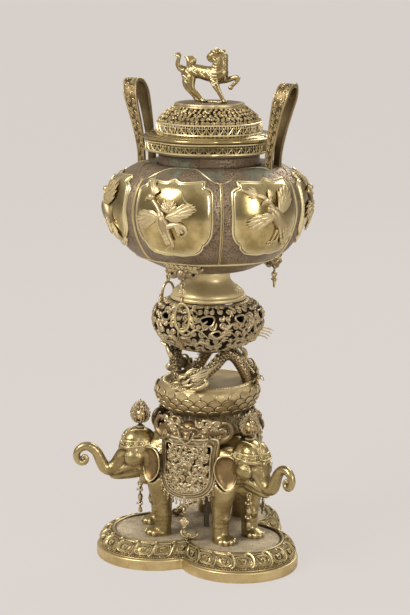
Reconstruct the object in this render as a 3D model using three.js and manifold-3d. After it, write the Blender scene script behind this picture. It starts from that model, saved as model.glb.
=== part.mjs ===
// A bronze incense burner on a stand of three elephants, in millimetres, +Z up.
// The origin is the centre of the plinth's underside. The two handles stand on the X axis,
// and the saddle cloth at the front faces -Y. Elephants look out at 90, 210 and 330 degrees.
import * as THREE from "three";
import { mergeVertices } from "three/addons/utils/BufferGeometryUtils.js";
import Module from "manifold-3d";

const wasm = await Module();
wasm.setup();

// Clearances and common thicknesses
const GAP = 0.3;
const SEAT = 0.02;
const WALL = 4;

// Plinth: a trefoil with a plain rim, a sloping border and a level floor
const LOBE_CENTRE = 76;
const LOBE_RADIUS = 85;
const LOBE_BLEND = 10;
const RIM_HEIGHT = 15;
const FLOOR_Z = 36;
const LIP_HEIGHT = 3;
const BORDER_WIDTH = 25;
const PLINTH_PLATE = 6;
const PLINTH_BOSS = 12;

// Elephants, measured out from the axis
const LEG_OUT = 68;
const LEG_SIDE = 27;
const LEG_RADIUS = 11.5;
const FOOT_LENGTH = 34;
const BELLY_Z = 98;
const BACK_Z = 188;
const HEAD_OUT = 101;
const HEAD_Z = 163;
const HEAD_RADIUS = 29;
const NECK_OUT = 83;
const EAR_OUT = 84;
const EAR_SIDE = 30;
const EAR_Z = 144;
const EAR_WIDTH = 32;
const EAR_HEIGHT = 48;
const EAR_THICK = 4;
const EAR_TURN = 49;

// Saddle cloths between the elephants
const CLOTH_TOP_RADIUS = 73;
const CLOTH_FOOT_RADIUS = 82;
const CLOTH_THICK = 4;
const CLOTH_WIDTH = 86;
const CLOTH_FOOT_Z = 102;

// Stem: scroll collar, lotus drum, dragons, openwork bulb and waisted collar
const LOTUS_Z = 218;
const LOTUS_TOP_Z = 260;
const LOTUS_RADIUS = 76;
const PETALS = 24;
const BULB_Z = 312;
const BULB_TOP_Z = 379;
const BULB_RADIUS = 81;
const BULB_WALL = 6;
const WAIST_TOP_Z = 421;
const WAIST_FOOT_RADIUS = 54;
const WAIST_RADIUS = 29;

// Bowl
const BOWL_RADIUS = 141;
const BOWL_NECK_RADIUS = 72;
const BOWL_TOP_Z = 593;
const BOWL_WALL = 6;
const NECK_FOOT = 0.885;
const NECK_HEIGHT = 28;
const LOBES = 6;
const PANEL_THICK = 2.4;
const PANEL_WIDTH = 112;
const PANEL_HEIGHT = 98;
const PANEL_Z = 512;

// Gallery, lid and finial
const GALLERY_RADIUS = 92;
const GALLERY_TOP_Z = 609.5;
const LID_RADIUS = 95;
const LID_FLANGE = 9;
const DOME_RADIUS = 74.5;
const DISC_Z = 656;
const DISC_TOP_Z = 660;
const DISC_RADIUS = 48;
const FINIAL_TOP_Z = 737;

// Handles
const HANDLE_OUT = 96;
const HANDLE_TOP_OUT = 118;
const HANDLE_FOOT_Z = 578;
const HANDLE_TOP_Z = 689;
const HANDLE_SPREAD = 20;
const STRAP_WIDTH = 15;
const STRAP_THICK = 5.5;

// Rods and small hardware
const ROD_RADIUS = 4;
const NUT_RADIUS = 8;
const NUT_HEIGHT = 6;
const WIRE = 1.3;
const EYE_RADIUS = 3.2;

const BRONZE = new THREE.MeshStandardMaterial({ color: 0x8f7f5c, roughness: 0.45, metalness: 0.9 });
const BRASS = new THREE.MeshStandardMaterial({ color: 0xb9a35e, roughness: 0.25, metalness: 0.95 });
const PATINA = new THREE.MeshStandardMaterial({ color: 0x81776a, roughness: 0.6, metalness: 0.8 });
const STEEL = new THREE.MeshStandardMaterial({ color: 0x6d6a64, roughness: 0.5, metalness: 0.9 });

const object = new THREE.Group();
const rad = THREE.MathUtils.degToRad;
const vec = (x, y, z) => new THREE.Vector3(x, y, z);

// A three.js geometry as a manifold-3d solid, with its faces turned out.
function solid(geometry) {
  const bare = geometry.index ? geometry.toNonIndexed() : geometry.clone();
  bare.deleteAttribute("normal");
  bare.deleteAttribute("uv");
  const merged = mergeVertices(bare, 1e-4);
  const faces = [];
  const index = merged.index.array;
  for (let i = 0; i < index.length; i += 3) {
    const [a, b, c] = [index[i], index[i + 1], index[i + 2]];
    if (a !== b && b !== c && c !== a) faces.push(a, b, c);
  }
  const make = (triangles) =>
    new wasm.Manifold(
      new wasm.Mesh({
        numProp: 3,
        vertProperties: merged.attributes.position.array,
        triVerts: new Uint32Array(triangles),
      }),
    );
  const made = make(faces);
  if (made.volume() > 0) return made;
  return make(faces.reverse());
}

// A solid back as a three.js geometry.
function geometryOf(shape) {
  const mesh = shape.getMesh();
  const geometry = new THREE.BufferGeometry();
  geometry.setAttribute("position", new THREE.BufferAttribute(mesh.vertProperties, 3));
  geometry.setIndex(new THREE.BufferAttribute(mesh.triVerts, 1));
  return geometry;
}

// Adds a named piece, turned about the axis.
function piece(name, shape, material, turn = 0) {
  const mesh = new THREE.Mesh(geometryOf(shape), material);
  mesh.name = name;
  mesh.rotation.z = rad(turn);
  object.add(mesh);
  return mesh;
}

const union = (...shapes) => shapes.reduce((sum, next) => sum.add(next));
const cut = (shape, ...tools) => tools.reduce((rest, tool) => rest.subtract(tool), shape);
const moved = (shape, x, y, z) => shape.translate([x, y, z]);
const turned = (shape, degrees) => shape.rotate([0, 0, degrees]);

function box(x, y, z, width, depth, height) {
  return solid(new THREE.BoxGeometry(width, depth, height).translate(x, y, z));
}

function ball(x, y, z, rx, ry, rz, sides = 8) {
  const shape = new THREE.SphereGeometry(1, sides, sides / 2);
  return solid(shape.scale(rx, rz, ry).rotateX(Math.PI / 2).translate(x, y, z));
}

// An upright round bar between two heights.
function bar(radius, low, high, sides = 10) {
  const shape = new THREE.CylinderGeometry(radius, radius, high - low, sides);
  return solid(shape.rotateX(Math.PI / 2).translate(0, 0, (low + high) / 2));
}

// A bar between two points.
function rod(from, to, radius, sides = 5, endRadius = radius) {
  const shape = new THREE.CylinderGeometry(endRadius, radius, from.distanceTo(to), sides);
  const turn = new THREE.Quaternion().setFromUnitVectors(
    vec(0, 1, 0),
    to.clone().sub(from).normalize(),
  );
  const middle = from.clone().add(to).multiplyScalar(0.5);
  return solid(shape.applyQuaternion(turn).translate(middle.x, middle.y, middle.z));
}

// A bar that follows a curve through points [x, y, z, radius]. A side vector keeps it untwisted,
// and flat squashes it along that side.
function limb(points, { sides = 6, steps = points.length, side = null, flat = 1 } = {}) {
  const curve = new THREE.CatmullRomCurve3(points.map((p) => vec(p[0], p[1], p[2])));
  const frames = curve.computeFrenetFrames(steps);
  const shape = new THREE.CylinderGeometry(1, 1, 1, sides, steps);
  const place = shape.attributes.position;
  const tangent = vec(0, 0, 0);
  for (let i = 0; i < place.count; i++) {
    const t = THREE.MathUtils.clamp(0.5 - place.getY(i), 0, 1);
    const step = Math.round(t * steps);
    const share = t * (points.length - 1);
    const low = Math.min(Math.floor(share), points.length - 2);
    const radius = THREE.MathUtils.lerp(points[low][3], points[low + 1][3], share - low);
    const centre = curve.getPoint(t);
    curve.getTangent(t, tangent);
    const across = side ? side.clone() : frames.normals[step].clone();
    across.addScaledVector(tangent, -across.dot(tangent)).normalize();
    const other = vec(0, 0, 0).crossVectors(tangent, across);
    centre.addScaledVector(across, place.getX(i) * radius * flat);
    centre.addScaledVector(other, place.getZ(i) * radius);
    place.setXYZ(i, centre.x, centre.y, centre.z);
  }
  return solid(shape);
}

// A ring of round wire in the plane across an axis.
function ring(x, y, z, radius, wire, axis = "x", stretch = 1, sides = 8) {
  const shape = new THREE.TorusGeometry(radius, wire, 4, sides);
  if (axis === "x") shape.rotateY(Math.PI / 2);
  if (axis === "y") shape.rotateX(Math.PI / 2);
  return solid(shape.scale(1, 1, stretch).translate(x, y, z));
}

// How far a lobed outline draws in at an angle: 1 on a rib and 0 at a lobe's middle.
const lobeShare = (angle) => 1 - Math.abs(Math.sin((LOBES / 2) * angle)) ** 0.8;

// A turned solid from points [radius, height, lobe depth]; ripple adds a scallop.
function turning(points, segments = 24, ripple = () => 0) {
  const outline = points.map((p) => new THREE.Vector2(Math.max(p[0], 0), p[1]));
  const shape = new THREE.LatheGeometry(outline, segments).rotateX(Math.PI / 2);
  const place = shape.attributes.position;
  for (let i = 0; i < place.count; i++) {
    const depth = points[i % points.length][2] ?? 0;
    const angle = Math.atan2(place.getY(i), place.getX(i));
    const scale = 1 - depth * lobeShare(angle) + ripple(angle, place.getZ(i));
    place.setXY(i, place.getX(i) * scale, place.getY(i) * scale);
  }
  return solid(shape);
}

const closed = (points) => [...points, points[0]];

// A plate cut from a flat outline, standing across the X axis: outline x runs along Y, y along Z.
function standing(shape, from, to, curveSegments = 4) {
  const plate = new THREE.ExtrudeGeometry(shape, {
    depth: to - from,
    bevelEnabled: false,
    curveSegments,
  });
  return solid(plate.rotateX(Math.PI / 2).rotateZ(Math.PI / 2).translate(from, 0, 0));
}

// Plinth
// How far out the edge of one circle of the trefoil lies, at an angle from that circle's centre.
function circleReach(angle) {
  const aside = LOBE_CENTRE * Math.sin(angle);
  return LOBE_CENTRE * Math.cos(angle) + Math.sqrt(LOBE_RADIUS ** 2 - aside ** 2);
}

// How far out the trefoil's edge lies, where three circles blend into each other.
function trefoilReach(angle) {
  const third = (2 * Math.PI) / 3;
  const turn = THREE.MathUtils.euclideanModulo(angle - Math.PI / 6, third) - third / 2;
  const near = circleReach(turn);
  const far = circleReach(third - Math.abs(turn));
  const share = THREE.MathUtils.clamp(0.5 + (near - far) / (2 * LOBE_BLEND), 0, 1);
  return THREE.MathUtils.lerp(far, near, share) + LOBE_BLEND * share * (1 - share);
}

// A solid whose level outlines follow the trefoil, from points [radius, height]. A point near
// the axis stays on its circle, and any other keeps its distance from the trefoil's edge.
function trefoil(points) {
  const outline = points.map((p) => new THREE.Vector2(p[0], p[1]));
  const shape = new THREE.LatheGeometry(outline, 36).rotateX(Math.PI / 2);
  const place = shape.attributes.position;
  for (let i = 0; i < place.count; i++) {
    const radius = points[i % points.length][0];
    if (radius < LOBE_CENTRE / 2) continue;
    const angle = Math.atan2(place.getY(i), place.getX(i));
    const reach = trefoilReach(angle) - LOBE_RADIUS + radius;
    place.setXY(i, reach * Math.cos(angle), reach * Math.sin(angle));
  }
  return solid(shape);
}

function plinthShape() {
  const borderTop = FLOOR_Z + LIP_HEIGHT;
  const borderFoot = LOBE_RADIUS - 5;
  const borderHead = LOBE_RADIUS - BORDER_WIDTH;
  const floorEdge = borderHead - 3;
  const under = FLOOR_Z - PLINTH_PLATE;
  const bore = ROD_RADIUS + GAP;
  const profile = [
    [0, 0],
    [PLINTH_BOSS, 0],
    [PLINTH_BOSS, under],
    [floorEdge, under],
    [LOBE_RADIUS - PLINTH_PLATE, RIM_HEIGHT - 4],
    [LOBE_RADIUS - PLINTH_PLATE, 0],
    [LOBE_RADIUS, 0],
    [LOBE_RADIUS, RIM_HEIGHT],
    [borderFoot, RIM_HEIGHT],
    [LOBE_RADIUS - 11, RIM_HEIGHT + 9],
    [borderHead + 3, borderTop - 3],
    [borderHead, borderTop],
    [floorEdge, FLOOR_Z],
    [bore, FLOOR_Z],
    [bore, PLINTH_PLATE],
    [0, PLINTH_PLATE],
  ];
  return trefoil(profile);
}

// Elephants: each is a forequarter that fills a third of the circle, and a head that meets it
// at the neck. Local X runs out from the axis.
const FOOT_Z = FLOOR_Z + SEAT;

function wedge(half, low, high) {
  const reach = 260;
  const shape = new THREE.Shape();
  const start = GAP;
  shape.moveTo(start, 0);
  shape.lineTo(start + reach, -reach * Math.tan(rad(half)));
  shape.lineTo(start + reach, reach * Math.tan(rad(half)));
  const plate = new THREE.ExtrudeGeometry(shape, { depth: high - low, bevelEnabled: false });
  return solid(plate.translate(0, 0, low));
}

function clothBlank(inner, outer) {
  const profile = [
    [CLOTH_FOOT_RADIUS + inner, CLOTH_FOOT_Z - 6],
    [CLOTH_FOOT_RADIUS + outer, CLOTH_FOOT_Z - 6],
    [CLOTH_TOP_RADIUS + outer, BACK_Z + 4],
    [CLOTH_TOP_RADIUS + inner, BACK_Z + 4],
  ];
  return turning(closed(profile));
}

function clothOutline(inset) {
  const half = CLOTH_WIDTH / 2 - inset;
  const top = BACK_Z + 2 - inset;
  const foot = CLOTH_FOOT_Z + inset;
  const shape = new THREE.Shape();
  shape.moveTo(-half, top);
  shape.lineTo(-half, foot + half * 0.72);
  shape.quadraticCurveTo(-half, foot + 6, 0, foot);
  shape.quadraticCurveTo(half, foot + 6, half, foot + half * 0.72);
  shape.lineTo(half, top);
  return shape;
}

function elephantBody() {
  const leg = (side) =>
    limb(
      [
        [LEG_OUT + 2, side * (LEG_SIDE - 6), BELLY_Z + 42, 24],
        [LEG_OUT + 2, side * (LEG_SIDE - 1), BELLY_Z, LEG_RADIUS + 5],
        [LEG_OUT - 1, side * LEG_SIDE, FLOOR_Z + 30, LEG_RADIUS],
        [LEG_OUT + 1, side * LEG_SIDE, FLOOR_Z - 6, LEG_RADIUS + 3],
      ],
      { sides: 8, side: vec(1, 0, 0) },
    );
  const toes = (side) => {
    const half = FOOT_LENGTH / 2;
    return ball(LEG_OUT + 10, side * LEG_SIDE, FLOOR_Z + 3, half - 1, half - 3, 11);
  };
  const middle = (BACK_Z + BELLY_Z) / 2;
  const half = (BACK_Z - BELLY_Z) / 2 + 2;
  const barrel = limb(
    [
      [-4, 0, middle, half],
      [NECK_OUT - 28, 0, middle, half],
      [NECK_OUT - 4, 0, middle + 4, half - 8],
      [NECK_OUT + 12, 0, middle + 6, half - 13],
    ],
    { sides: 10, side: vec(0, 1, 0) },
  );
  let shape = union(barrel, leg(1), leg(-1), toes(1), toes(-1));
  shape = shape.intersect(wedge(60, FOOT_Z, BACK_Z));
  const cloths = [60, -60].map((turn) => turned(clothClearance(), turn));
  const ears = [1, -1].map((side) => earShape(side, GAP, 60));
  return cut(shape, ...cloths, ...ears, bar(ROD_RADIUS + GAP, 0, BACK_Z + 20), neckCut());
}

// An ear: a thin plate that turns out from the side of the head. Extra widens it, and forward
// thickens it towards the face.
function earShape(side, extra = 0, forward = 0) {
  const half = EAR_WIDTH / 2 + extra;
  const rise = EAR_HEIGHT / 2 + extra;
  const shape = new THREE.Shape();
  shape.moveTo(side * half, rise * 0.3);
  shape.quadraticCurveTo(side * half, -rise * 0.5, 0, -rise);
  shape.quadraticCurveTo(-side * half, -rise * 0.7, -side * half, 0);
  shape.quadraticCurveTo(-side * half, rise, 0, rise);
  shape.quadraticCurveTo(side * half, rise, side * half, rise * 0.3);
  const plate = standing(shape, -EAR_THICK / 2 - extra, EAR_THICK / 2 + forward, 3);
  return moved(turned(plate, side * EAR_TURN), EAR_OUT, side * EAR_SIDE, EAR_Z);
}

// The space that a saddle cloth and its mask need beside an elephant.
function clothClearance() {
  const blank = clothBlank(-GAP, 40);
  return blank.intersect(standing(clothOutline(-GAP - 1), 20, 160));
}

// The neck joint is a flat face across the outward direction, leaning with the neck.
function neckCut() {
  const shape = new THREE.BoxGeometry(120, 160, 160).translate(60, 0, 0);
  return solid(shape.rotateY(rad(-8)).translate(NECK_OUT, 0, HEAD_Z - 13));
}

function elephantHead() {
  const skull = limb(
    [
      [NECK_OUT - 8, 0, HEAD_Z - 16, HEAD_RADIUS + 6],
      [HEAD_OUT - 9, 0, HEAD_Z - 5, HEAD_RADIUS + 2],
      [HEAD_OUT + 1, 0, HEAD_Z, HEAD_RADIUS],
      [HEAD_OUT + 14, 0, HEAD_Z - 8, HEAD_RADIUS - 6],
      [HEAD_OUT + 22, 0, HEAD_Z - 20, HEAD_RADIUS - 16],
    ],
    { sides: 10, side: vec(0, 1, 0) },
  );
  const jaw = limb(
    [
      [HEAD_OUT - 8, 0, HEAD_Z - 24, 20],
      [HEAD_OUT + 14, 0, HEAD_Z - 35, 13],
      [HEAD_OUT + 38, 0, HEAD_Z - 45, 3],
    ],
    { side: vec(0, 1, 0) },
  );
  const trunk = limb(
    [
      [HEAD_OUT + 14, 0, HEAD_Z - 12, 17],
      [HEAD_OUT + 30, 0, HEAD_Z - 29, 11],
      [HEAD_OUT + 42, 0, HEAD_Z - 35, 9],
      [HEAD_OUT + 51.5, 0, HEAD_Z - 28.5, 8],
      [HEAD_OUT + 58, 0, HEAD_Z - 11.5, 7],
      [HEAD_OUT + 69.5, 0, HEAD_Z + 0.5, 6],
      [HEAD_OUT + 82.5, 0, HEAD_Z, 5.2],
      [HEAD_OUT + 90, 0, HEAD_Z - 10.5, 4.7],
      [HEAD_OUT + 87, 0, HEAD_Z - 22, 4.2],
      [HEAD_OUT + 78, 0, HEAD_Z - 24, 3.8],
      [HEAD_OUT + 75, 0, HEAD_Z - 17, 3.4],
      [HEAD_OUT + 79, 0, HEAD_Z - 12, 3],
    ],
    { steps: 16, side: vec(0, 1, 0) },
  );
  let shape = union(skull, jaw, trunk, earShape(1), earShape(-1));
  shape = shape.intersect(neckCut().translate([GAP, 0, 0]));
  const clear = [60, -60].map((turn) => turned(clothClearance(), turn));
  const seat = moved(bar(8, JEWEL_FOOT_Z - GAP, JEWEL_FOOT_Z + 20), JEWEL_OUT, 0, 0);
  return union(cut(shape, ...clear, jewelPeg(GAP), seat), chestEye());
}

// Flaming jewel on a stem, standing in the top of a head
const JEWEL_OUT = HEAD_OUT - 3;
const JEWEL_FOOT_Z = HEAD_Z + HEAD_RADIUS - 1;

function jewelPeg(extra) {
  return moved(bar(2 + extra, JEWEL_FOOT_Z - 12 - extra, JEWEL_FOOT_Z + 3, 8), JEWEL_OUT, 0, 0);
}

function jewelShape() {
  const profile = [
    [0, 0],
    [6, 0],
    [3, 6],
    [13, 18],
    [11, 27],
    [0, 43],
  ];
  const flame = turning(profile, 8);
  return union(moved(flame, JEWEL_OUT, 0, JEWEL_FOOT_Z), jewelPeg(0));
}

// An eye under the jaw, where the chest pendant hangs
const CHEST_EYE = vec(HEAD_OUT - 3, 0, HEAD_Z - 54);

function chestEye() {
  const { x, y, z } = CHEST_EYE;
  const stem = rod(vec(x, y, z + EYE_RADIUS), vec(x, y, HEAD_Z - 30), WIRE, 4);
  return union(ring(x, y, z, EYE_RADIUS, WIRE, "x"), stem);
}

// The middle height of a loop that hangs in an eye with the clearance between the two wires.
const loopUnder = (eye) => eye.z - EYE_RADIUS - (EYE_RADIUS - 2 * WIRE - GAP);

// A pendant whose loop hangs on an eye: a turned bead chain with a body of a given section.
function pendantShape(eye, length, width, sides) {
  const loopZ = loopUnder(eye);
  const top = loopZ - EYE_RADIUS + WIRE;
  const profile = [
    [0, 0],
    [WIRE, 0],
    [2.6, 0.12],
    [WIRE, 0.22],
    [width, 0.42],
    [WIRE, 0.64],
    [2.8, 0.78],
    [WIRE, 0.88],
    [2.6, 0.95],
    [0, 1],
  ];
  const points = profile.map(([radius, share]) => [radius, top - share * length]);
  const body = moved(turning(points.reverse(), sides), eye.x, 0, 0);
  return union(ring(eye.x, 0, loopZ, EYE_RADIUS, WIRE, "y"), body);
}

// Saddle cloths: a curved pierced plate with a fringe of tassels
function clothShape() {
  const plate = clothBlank(0, CLOTH_THICK).intersect(standing(clothOutline(0), 20, 160));
  const holes = [];
  const centreZ = (BACK_Z + CLOTH_FOOT_Z) / 2 + 2;
  for (let i = 0; i < 6; i++) {
    const angle = rad(60 * i + 30);
    const from = vec(50, 16 * Math.cos(angle), centreZ + 17 * Math.sin(angle));
    holes.push(rod(from, from.clone().setX(120), 5, 4));
  }
  const shape = cut(plate, ...holes);
  const x = CLOTH_FOOT_RADIUS + CLOTH_THICK / 2;
  const tassels = [-18, -9, 0, 9, 18].map((angle) => {
    const top = CLOTH_FOOT_Z + 5 + Math.abs(angle) * 0.45;
    return turned(rod(vec(x, 0, top), vec(x, 0, top - 15), 2.2, 4, 3.2), angle);
  });
  const eye = ring(CLOTH_EYE.x, 0, CLOTH_EYE.z, EYE_RADIUS, WIRE, "x");
  return union(shape, ...tassels, eye);
}
const CLOTH_EYE = vec(CLOTH_FOOT_RADIUS + CLOTH_THICK / 2, 0, CLOTH_FOOT_Z - 12);

// A beast mask with two horn scrolls, over each saddle cloth
function maskShape() {
  const out = CLOTH_TOP_RADIUS - 6;
  const face = union(
    ball(out, 0, BACK_Z + 14, 12, 20, 15),
    ball(out + 10, 0, BACK_Z + 8, 8, 11, 8),
  );
  const scroll = (side) =>
    limb(
      [
        [out - 2, side * 10, BACK_Z + 8, 8],
        [out - 5, side * 30, BACK_Z + 8, 7],
        [out - 14, side * 50, BACK_Z + 24, 5.5],
        [out - 18, side * 46, BACK_Z + 44, 4],
        [out - 17, side * 37, BACK_Z + 36, 3],
      ],
      { steps: 7, side: vec(1, 0, 0) },
    );
  const shape = union(face, scroll(1), scroll(-1));
  const clear = [
    scrollCollarBlank(GAP),
    bar(200, 0, BACK_Z + 4 + GAP),
    lotusEnvelope(GAP),
  ];
  return cut(shape, ...clear);
}

// Scroll collar: a pierced ring between the elephants' backs and the lotus drum
function scrollCollarBlank(extra) {
  const profile = [
    [0, BACK_Z + GAP - extra],
    [60 + extra, BACK_Z + GAP - extra],
    [58 + extra, BACK_Z + 8],
    [51 + extra, BACK_Z + 14],
    [50 + extra, LOTUS_Z - GAP + extra],
    [0, LOTUS_Z - GAP + extra],
  ];
  return turning(profile);
}

function scrollCollarShape() {
  const profile = [
    [60, BACK_Z + GAP],
    [58, BACK_Z + 8],
    [51, BACK_Z + 14],
    [50, LOTUS_Z - GAP],
    [12, LOTUS_Z - GAP],
    [12, LOTUS_Z - 6],
    [42, LOTUS_Z - 6],
    [42, BACK_Z + 6],
    [12, BACK_Z + 6],
    [12, BACK_Z + GAP],
  ];
  const shape = turning(closed(profile), 18);
  const holes = [];
  for (let i = 0; i < 9; i++) {
    holes.push(turned(rod(vec(30, 0, BACK_Z + 13), vec(70, 0, BACK_Z + 13), 5, 4), 40 * i + 10));
  }
  return cut(shape, ...holes);
}

// Lotus drum
const lotusRipple = (angle, z) => {
  const belly = THREE.MathUtils.smoothstep(z, LOTUS_Z, LOTUS_Z + 14);
  const rim = 1 - THREE.MathUtils.smoothstep(z, LOTUS_TOP_Z - 8, LOTUS_TOP_Z - 2);
  return 0.02 * belly * rim * Math.cos(PETALS * angle);
};

function lotusProfile(extra) {
  const level = (share) => LOTUS_Z + share * (LOTUS_TOP_Z - LOTUS_Z);
  return [
    [46 + extra, LOTUS_Z - extra],
    [LOTUS_RADIUS - 14 + extra, level(0.16)],
    [LOTUS_RADIUS - 4 + extra, level(0.42)],
    [LOTUS_RADIUS + extra, level(0.68)],
    [LOTUS_RADIUS - 6 + extra, level(0.88)],
    [LOTUS_RADIUS - 11 + extra, LOTUS_TOP_Z + extra],
  ];
}

function lotusEnvelope(extra) {
  const points = lotusProfile(extra + 2);
  return turning([[0, points[0][1]], ...points, [0, LOTUS_TOP_Z + extra]]);
}

function lotusShape() {
  const inner = [
    [0, LOTUS_TOP_Z],
    [0, LOTUS_TOP_Z - 6],
    [LOTUS_RADIUS - 15, LOTUS_TOP_Z - 6],
    [LOTUS_RADIUS - 12, LOTUS_TOP_Z - 16],
    [40, LOTUS_Z],
  ];
  const shell = turning(closed([...lotusProfile(0), ...inner]), PETALS * 2, lotusRipple);
  const boss = bar(10, LOTUS_TOP_Z - 20, LOTUS_TOP_Z - 5, 12);
  return cut(union(shell, boss), bar(ROD_RADIUS + GAP, 100, LOTUS_TOP_Z - 8, 12));
}

// The stud that ties the plinth, the elephants, the collar and the drum together
function tieRodShape() {
  return bar(ROD_RADIUS, PLINTH_PLATE + GAP, LOTUS_TOP_Z - 8 - GAP);
}

function nutShape(top, boreRadius = ROD_RADIUS) {
  const blank = bar(NUT_RADIUS, top - NUT_HEIGHT, top, 6);
  return cut(blank, bar(boreRadius + GAP, top - 20, top + 20, 12));
}

// Dragons, each arching from the drum's top to the bulb's foot. Angles run back from the snout.
function dragonShape() {
  const at = (angle, out, z, radius) => [
    out * Math.cos(rad(angle)),
    out * Math.sin(rad(angle)),
    z,
    radius,
  ];
  const top = LOTUS_TOP_Z;
  const rise = BULB_Z - LOTUS_TOP_Z;
  const body = limb(
    [
      at(0, 64, top + 0.17 * rise, 4),
      at(8, 63, top + 0.21 * rise, 7.5),
      at(22, 58, top + 0.29 * rise, 8.5),
      at(42, 50, top + 0.59 * rise, 8.5),
      at(60, 46, top + 0.85 * rise, 9),
      at(76, 48, top + 0.83 * rise, 8.5),
      at(90, 53, top + 0.52 * rise, 8),
      at(97, 57, top + 0.17 * rise, 7),
      at(99, 59, top - 4, 6),
    ],
    { steps: 11, side: vec(0, 0, 1) },
  );
  const thin = { sides: 4 };
  const head = union(
    ball(63, 6, top + 11, 9, 12, 8),
    limb([at(6, 62, top + 14, 2.5), at(16, 64, top + 21, 2), at(24, 66, top + 23, 1)], thin),
    limb([at(6, 56, top + 14, 2.5), at(16, 52, top + 22, 2), at(24, 50, top + 25, 1)], thin),
    rod(vec(64, -3, top + 6), vec(64, -13, top + 4), 5, 6, 2.5),
    limb([at(14, 62, top + 6, 5), at(20, 68, top + 3, 4), at(16, 70, top - 3, 3.5)], thin),
  );
  return cut(
    union(body, head),
    bar(120, 0, LOTUS_TOP_Z + GAP),
    bar(120, BULB_Z - GAP, 400),
  );
}

// Openwork bulb
function bulbShape() {
  const outer = [
    [38, BULB_Z],
    [53, BULB_Z],
    [75, BULB_Z + 18],
    [BULB_RADIUS, BULB_Z + 38],
    [76, BULB_Z + 54],
    [56, BULB_TOP_Z],
    [ROD_RADIUS + GAP, BULB_TOP_Z],
    [ROD_RADIUS + GAP, BULB_TOP_Z - 5],
    [56, BULB_TOP_Z - 5],
    [BULB_RADIUS - BULB_WALL, BULB_Z + 38],
    [50, BULB_Z + 6],
    [38, BULB_Z + 6],
  ];
  const shell = turning(closed(outer));
  const holes = [];
  const rows = [
    [BULB_Z + 18, 6, 9, 0],
    [BULB_Z + 35, 8, 9, 20],
    [BULB_Z + 52, 6, 9, 0],
  ];
  for (const [z, radius, count, start] of rows) {
    for (let i = 0; i < count; i++) {
      const hole = rod(vec(48, 0, z), vec(100, 0, z), radius, 4);
      holes.push(turned(hole, (360 / count) * i + start));
    }
  }
  return cut(shell, ...holes);
}

// Waisted collar between the bulb and the bowl
function waistShape() {
  const low = BULB_TOP_Z + GAP;
  const high = WAIST_TOP_Z;
  const level = (share) => low + share * (high - low);
  const profile = [
    [WAIST_FOOT_RADIUS - 3, low],
    [WAIST_FOOT_RADIUS, level(0.28)],
    [WAIST_FOOT_RADIUS - 3, level(0.42)],
    [WAIST_RADIUS + 11, level(0.55)],
    [WAIST_RADIUS + 4, level(0.66)],
    [WAIST_RADIUS + 3, high],
    [WAIST_RADIUS - 6, high],
    [WAIST_RADIUS - 5, level(0.62)],
    [WAIST_FOOT_RADIUS - 12, level(0.36)],
    [WAIST_FOOT_RADIUS - 9, low],
  ];
  return turning(closed(profile));
}

// The bolt that holds bulb, collar and bowl together, with its nut inside the bowl
const BOWL_FLOOR_Z = WAIST_TOP_Z + GAP + WALL + 2;

function bowlBoltShape() {
  const head = bar(NUT_RADIUS, BULB_TOP_Z - 5 - GAP - NUT_HEIGHT, BULB_TOP_Z - 5 - GAP, 6);
  return union(head, bar(ROD_RADIUS, BULB_TOP_Z - 8, BOWL_FLOOR_Z + 12, 12));
}

// Bowl: shares of its radius and of its height, with the lobe depth, from foot to shoulder
const BOWL_LINE = [
  [0.41, 0.02, 0],
  [0.54, 0.062, 0.01],
  [0.71, 0.13, 0.03],
  [0.825, 0.2, 0.045],
  [0.93, 0.325, 0.06],
  [0.99, 0.464, 0.065],
  [1, 0.58, 0.07],
  [0.96, 0.73, 0.08],
  [0.88, 0.81, 0.09],
  [0.78, 0.867, 0.09],
  [0.66, 0.9, 0.07],
];

function bowlOuter(extra) {
  const low = WAIST_TOP_Z + GAP;
  const height = BOWL_TOP_Z - low;
  const flank = BOWL_LINE.map(([radius, level, depth]) => {
    const lift = extra * (level > 0.75 ? 1 : level < 0.15 ? -1 : 0);
    return [radius * BOWL_RADIUS + extra, low + level * height + lift, depth];
  });
  return [
    [WAIST_RADIUS + 3 + extra, low - extra, 0],
    ...flank,
    [BOWL_NECK_RADIUS + extra, low + NECK_FOOT * height + extra, 0],
    [BOWL_NECK_RADIUS + extra, BOWL_TOP_Z - 4, 0],
  ];
}

// The inside of the bowl's flank, from shoulder to foot.
function bowlInner() {
  const outer = bowlOuter(0);
  const inner = outer.slice(3, -2).map((point, i) => {
    const [before, after] = [outer[i + 2], outer[i + 4]];
    const way = vec(after[0] - before[0], 0, after[1] - before[1]).normalize();
    return [point[0] - way.z * BOWL_WALL, point[1] + way.x * BOWL_WALL, point[2]];
  });
  return inner.reverse();
}

function bowlEnvelope(extra) {
  const outer = bowlOuter(extra);
  const low = outer[0][1];
  return turning([[0, low, 0], ...outer, [0, BOWL_TOP_Z - 4, 0]]);
}

function bowlShape() {
  const floor = BOWL_FLOOR_Z;
  const top = BOWL_TOP_Z;
  const rim = [
    [BOWL_NECK_RADIUS + 7, top - 3, 0],
    [BOWL_NECK_RADIUS + 7, top, 0],
    [BOWL_NECK_RADIUS - WALL, top, 0],
    [BOWL_NECK_RADIUS - WALL, top - NECK_HEIGHT, 0],
    ...bowlInner(),
    [50, floor, 0],
    [ROD_RADIUS + GAP, floor, 0],
    [ROD_RADIUS + GAP, WAIST_TOP_Z + GAP, 0],
  ];
  return turning(closed([...bowlOuter(0), ...rim]));
}

// Cartouche panels on the lobes, and the creatures applied to them
const PANEL_TURNS = [30, 90, 150, 210, 270, 330];

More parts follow.
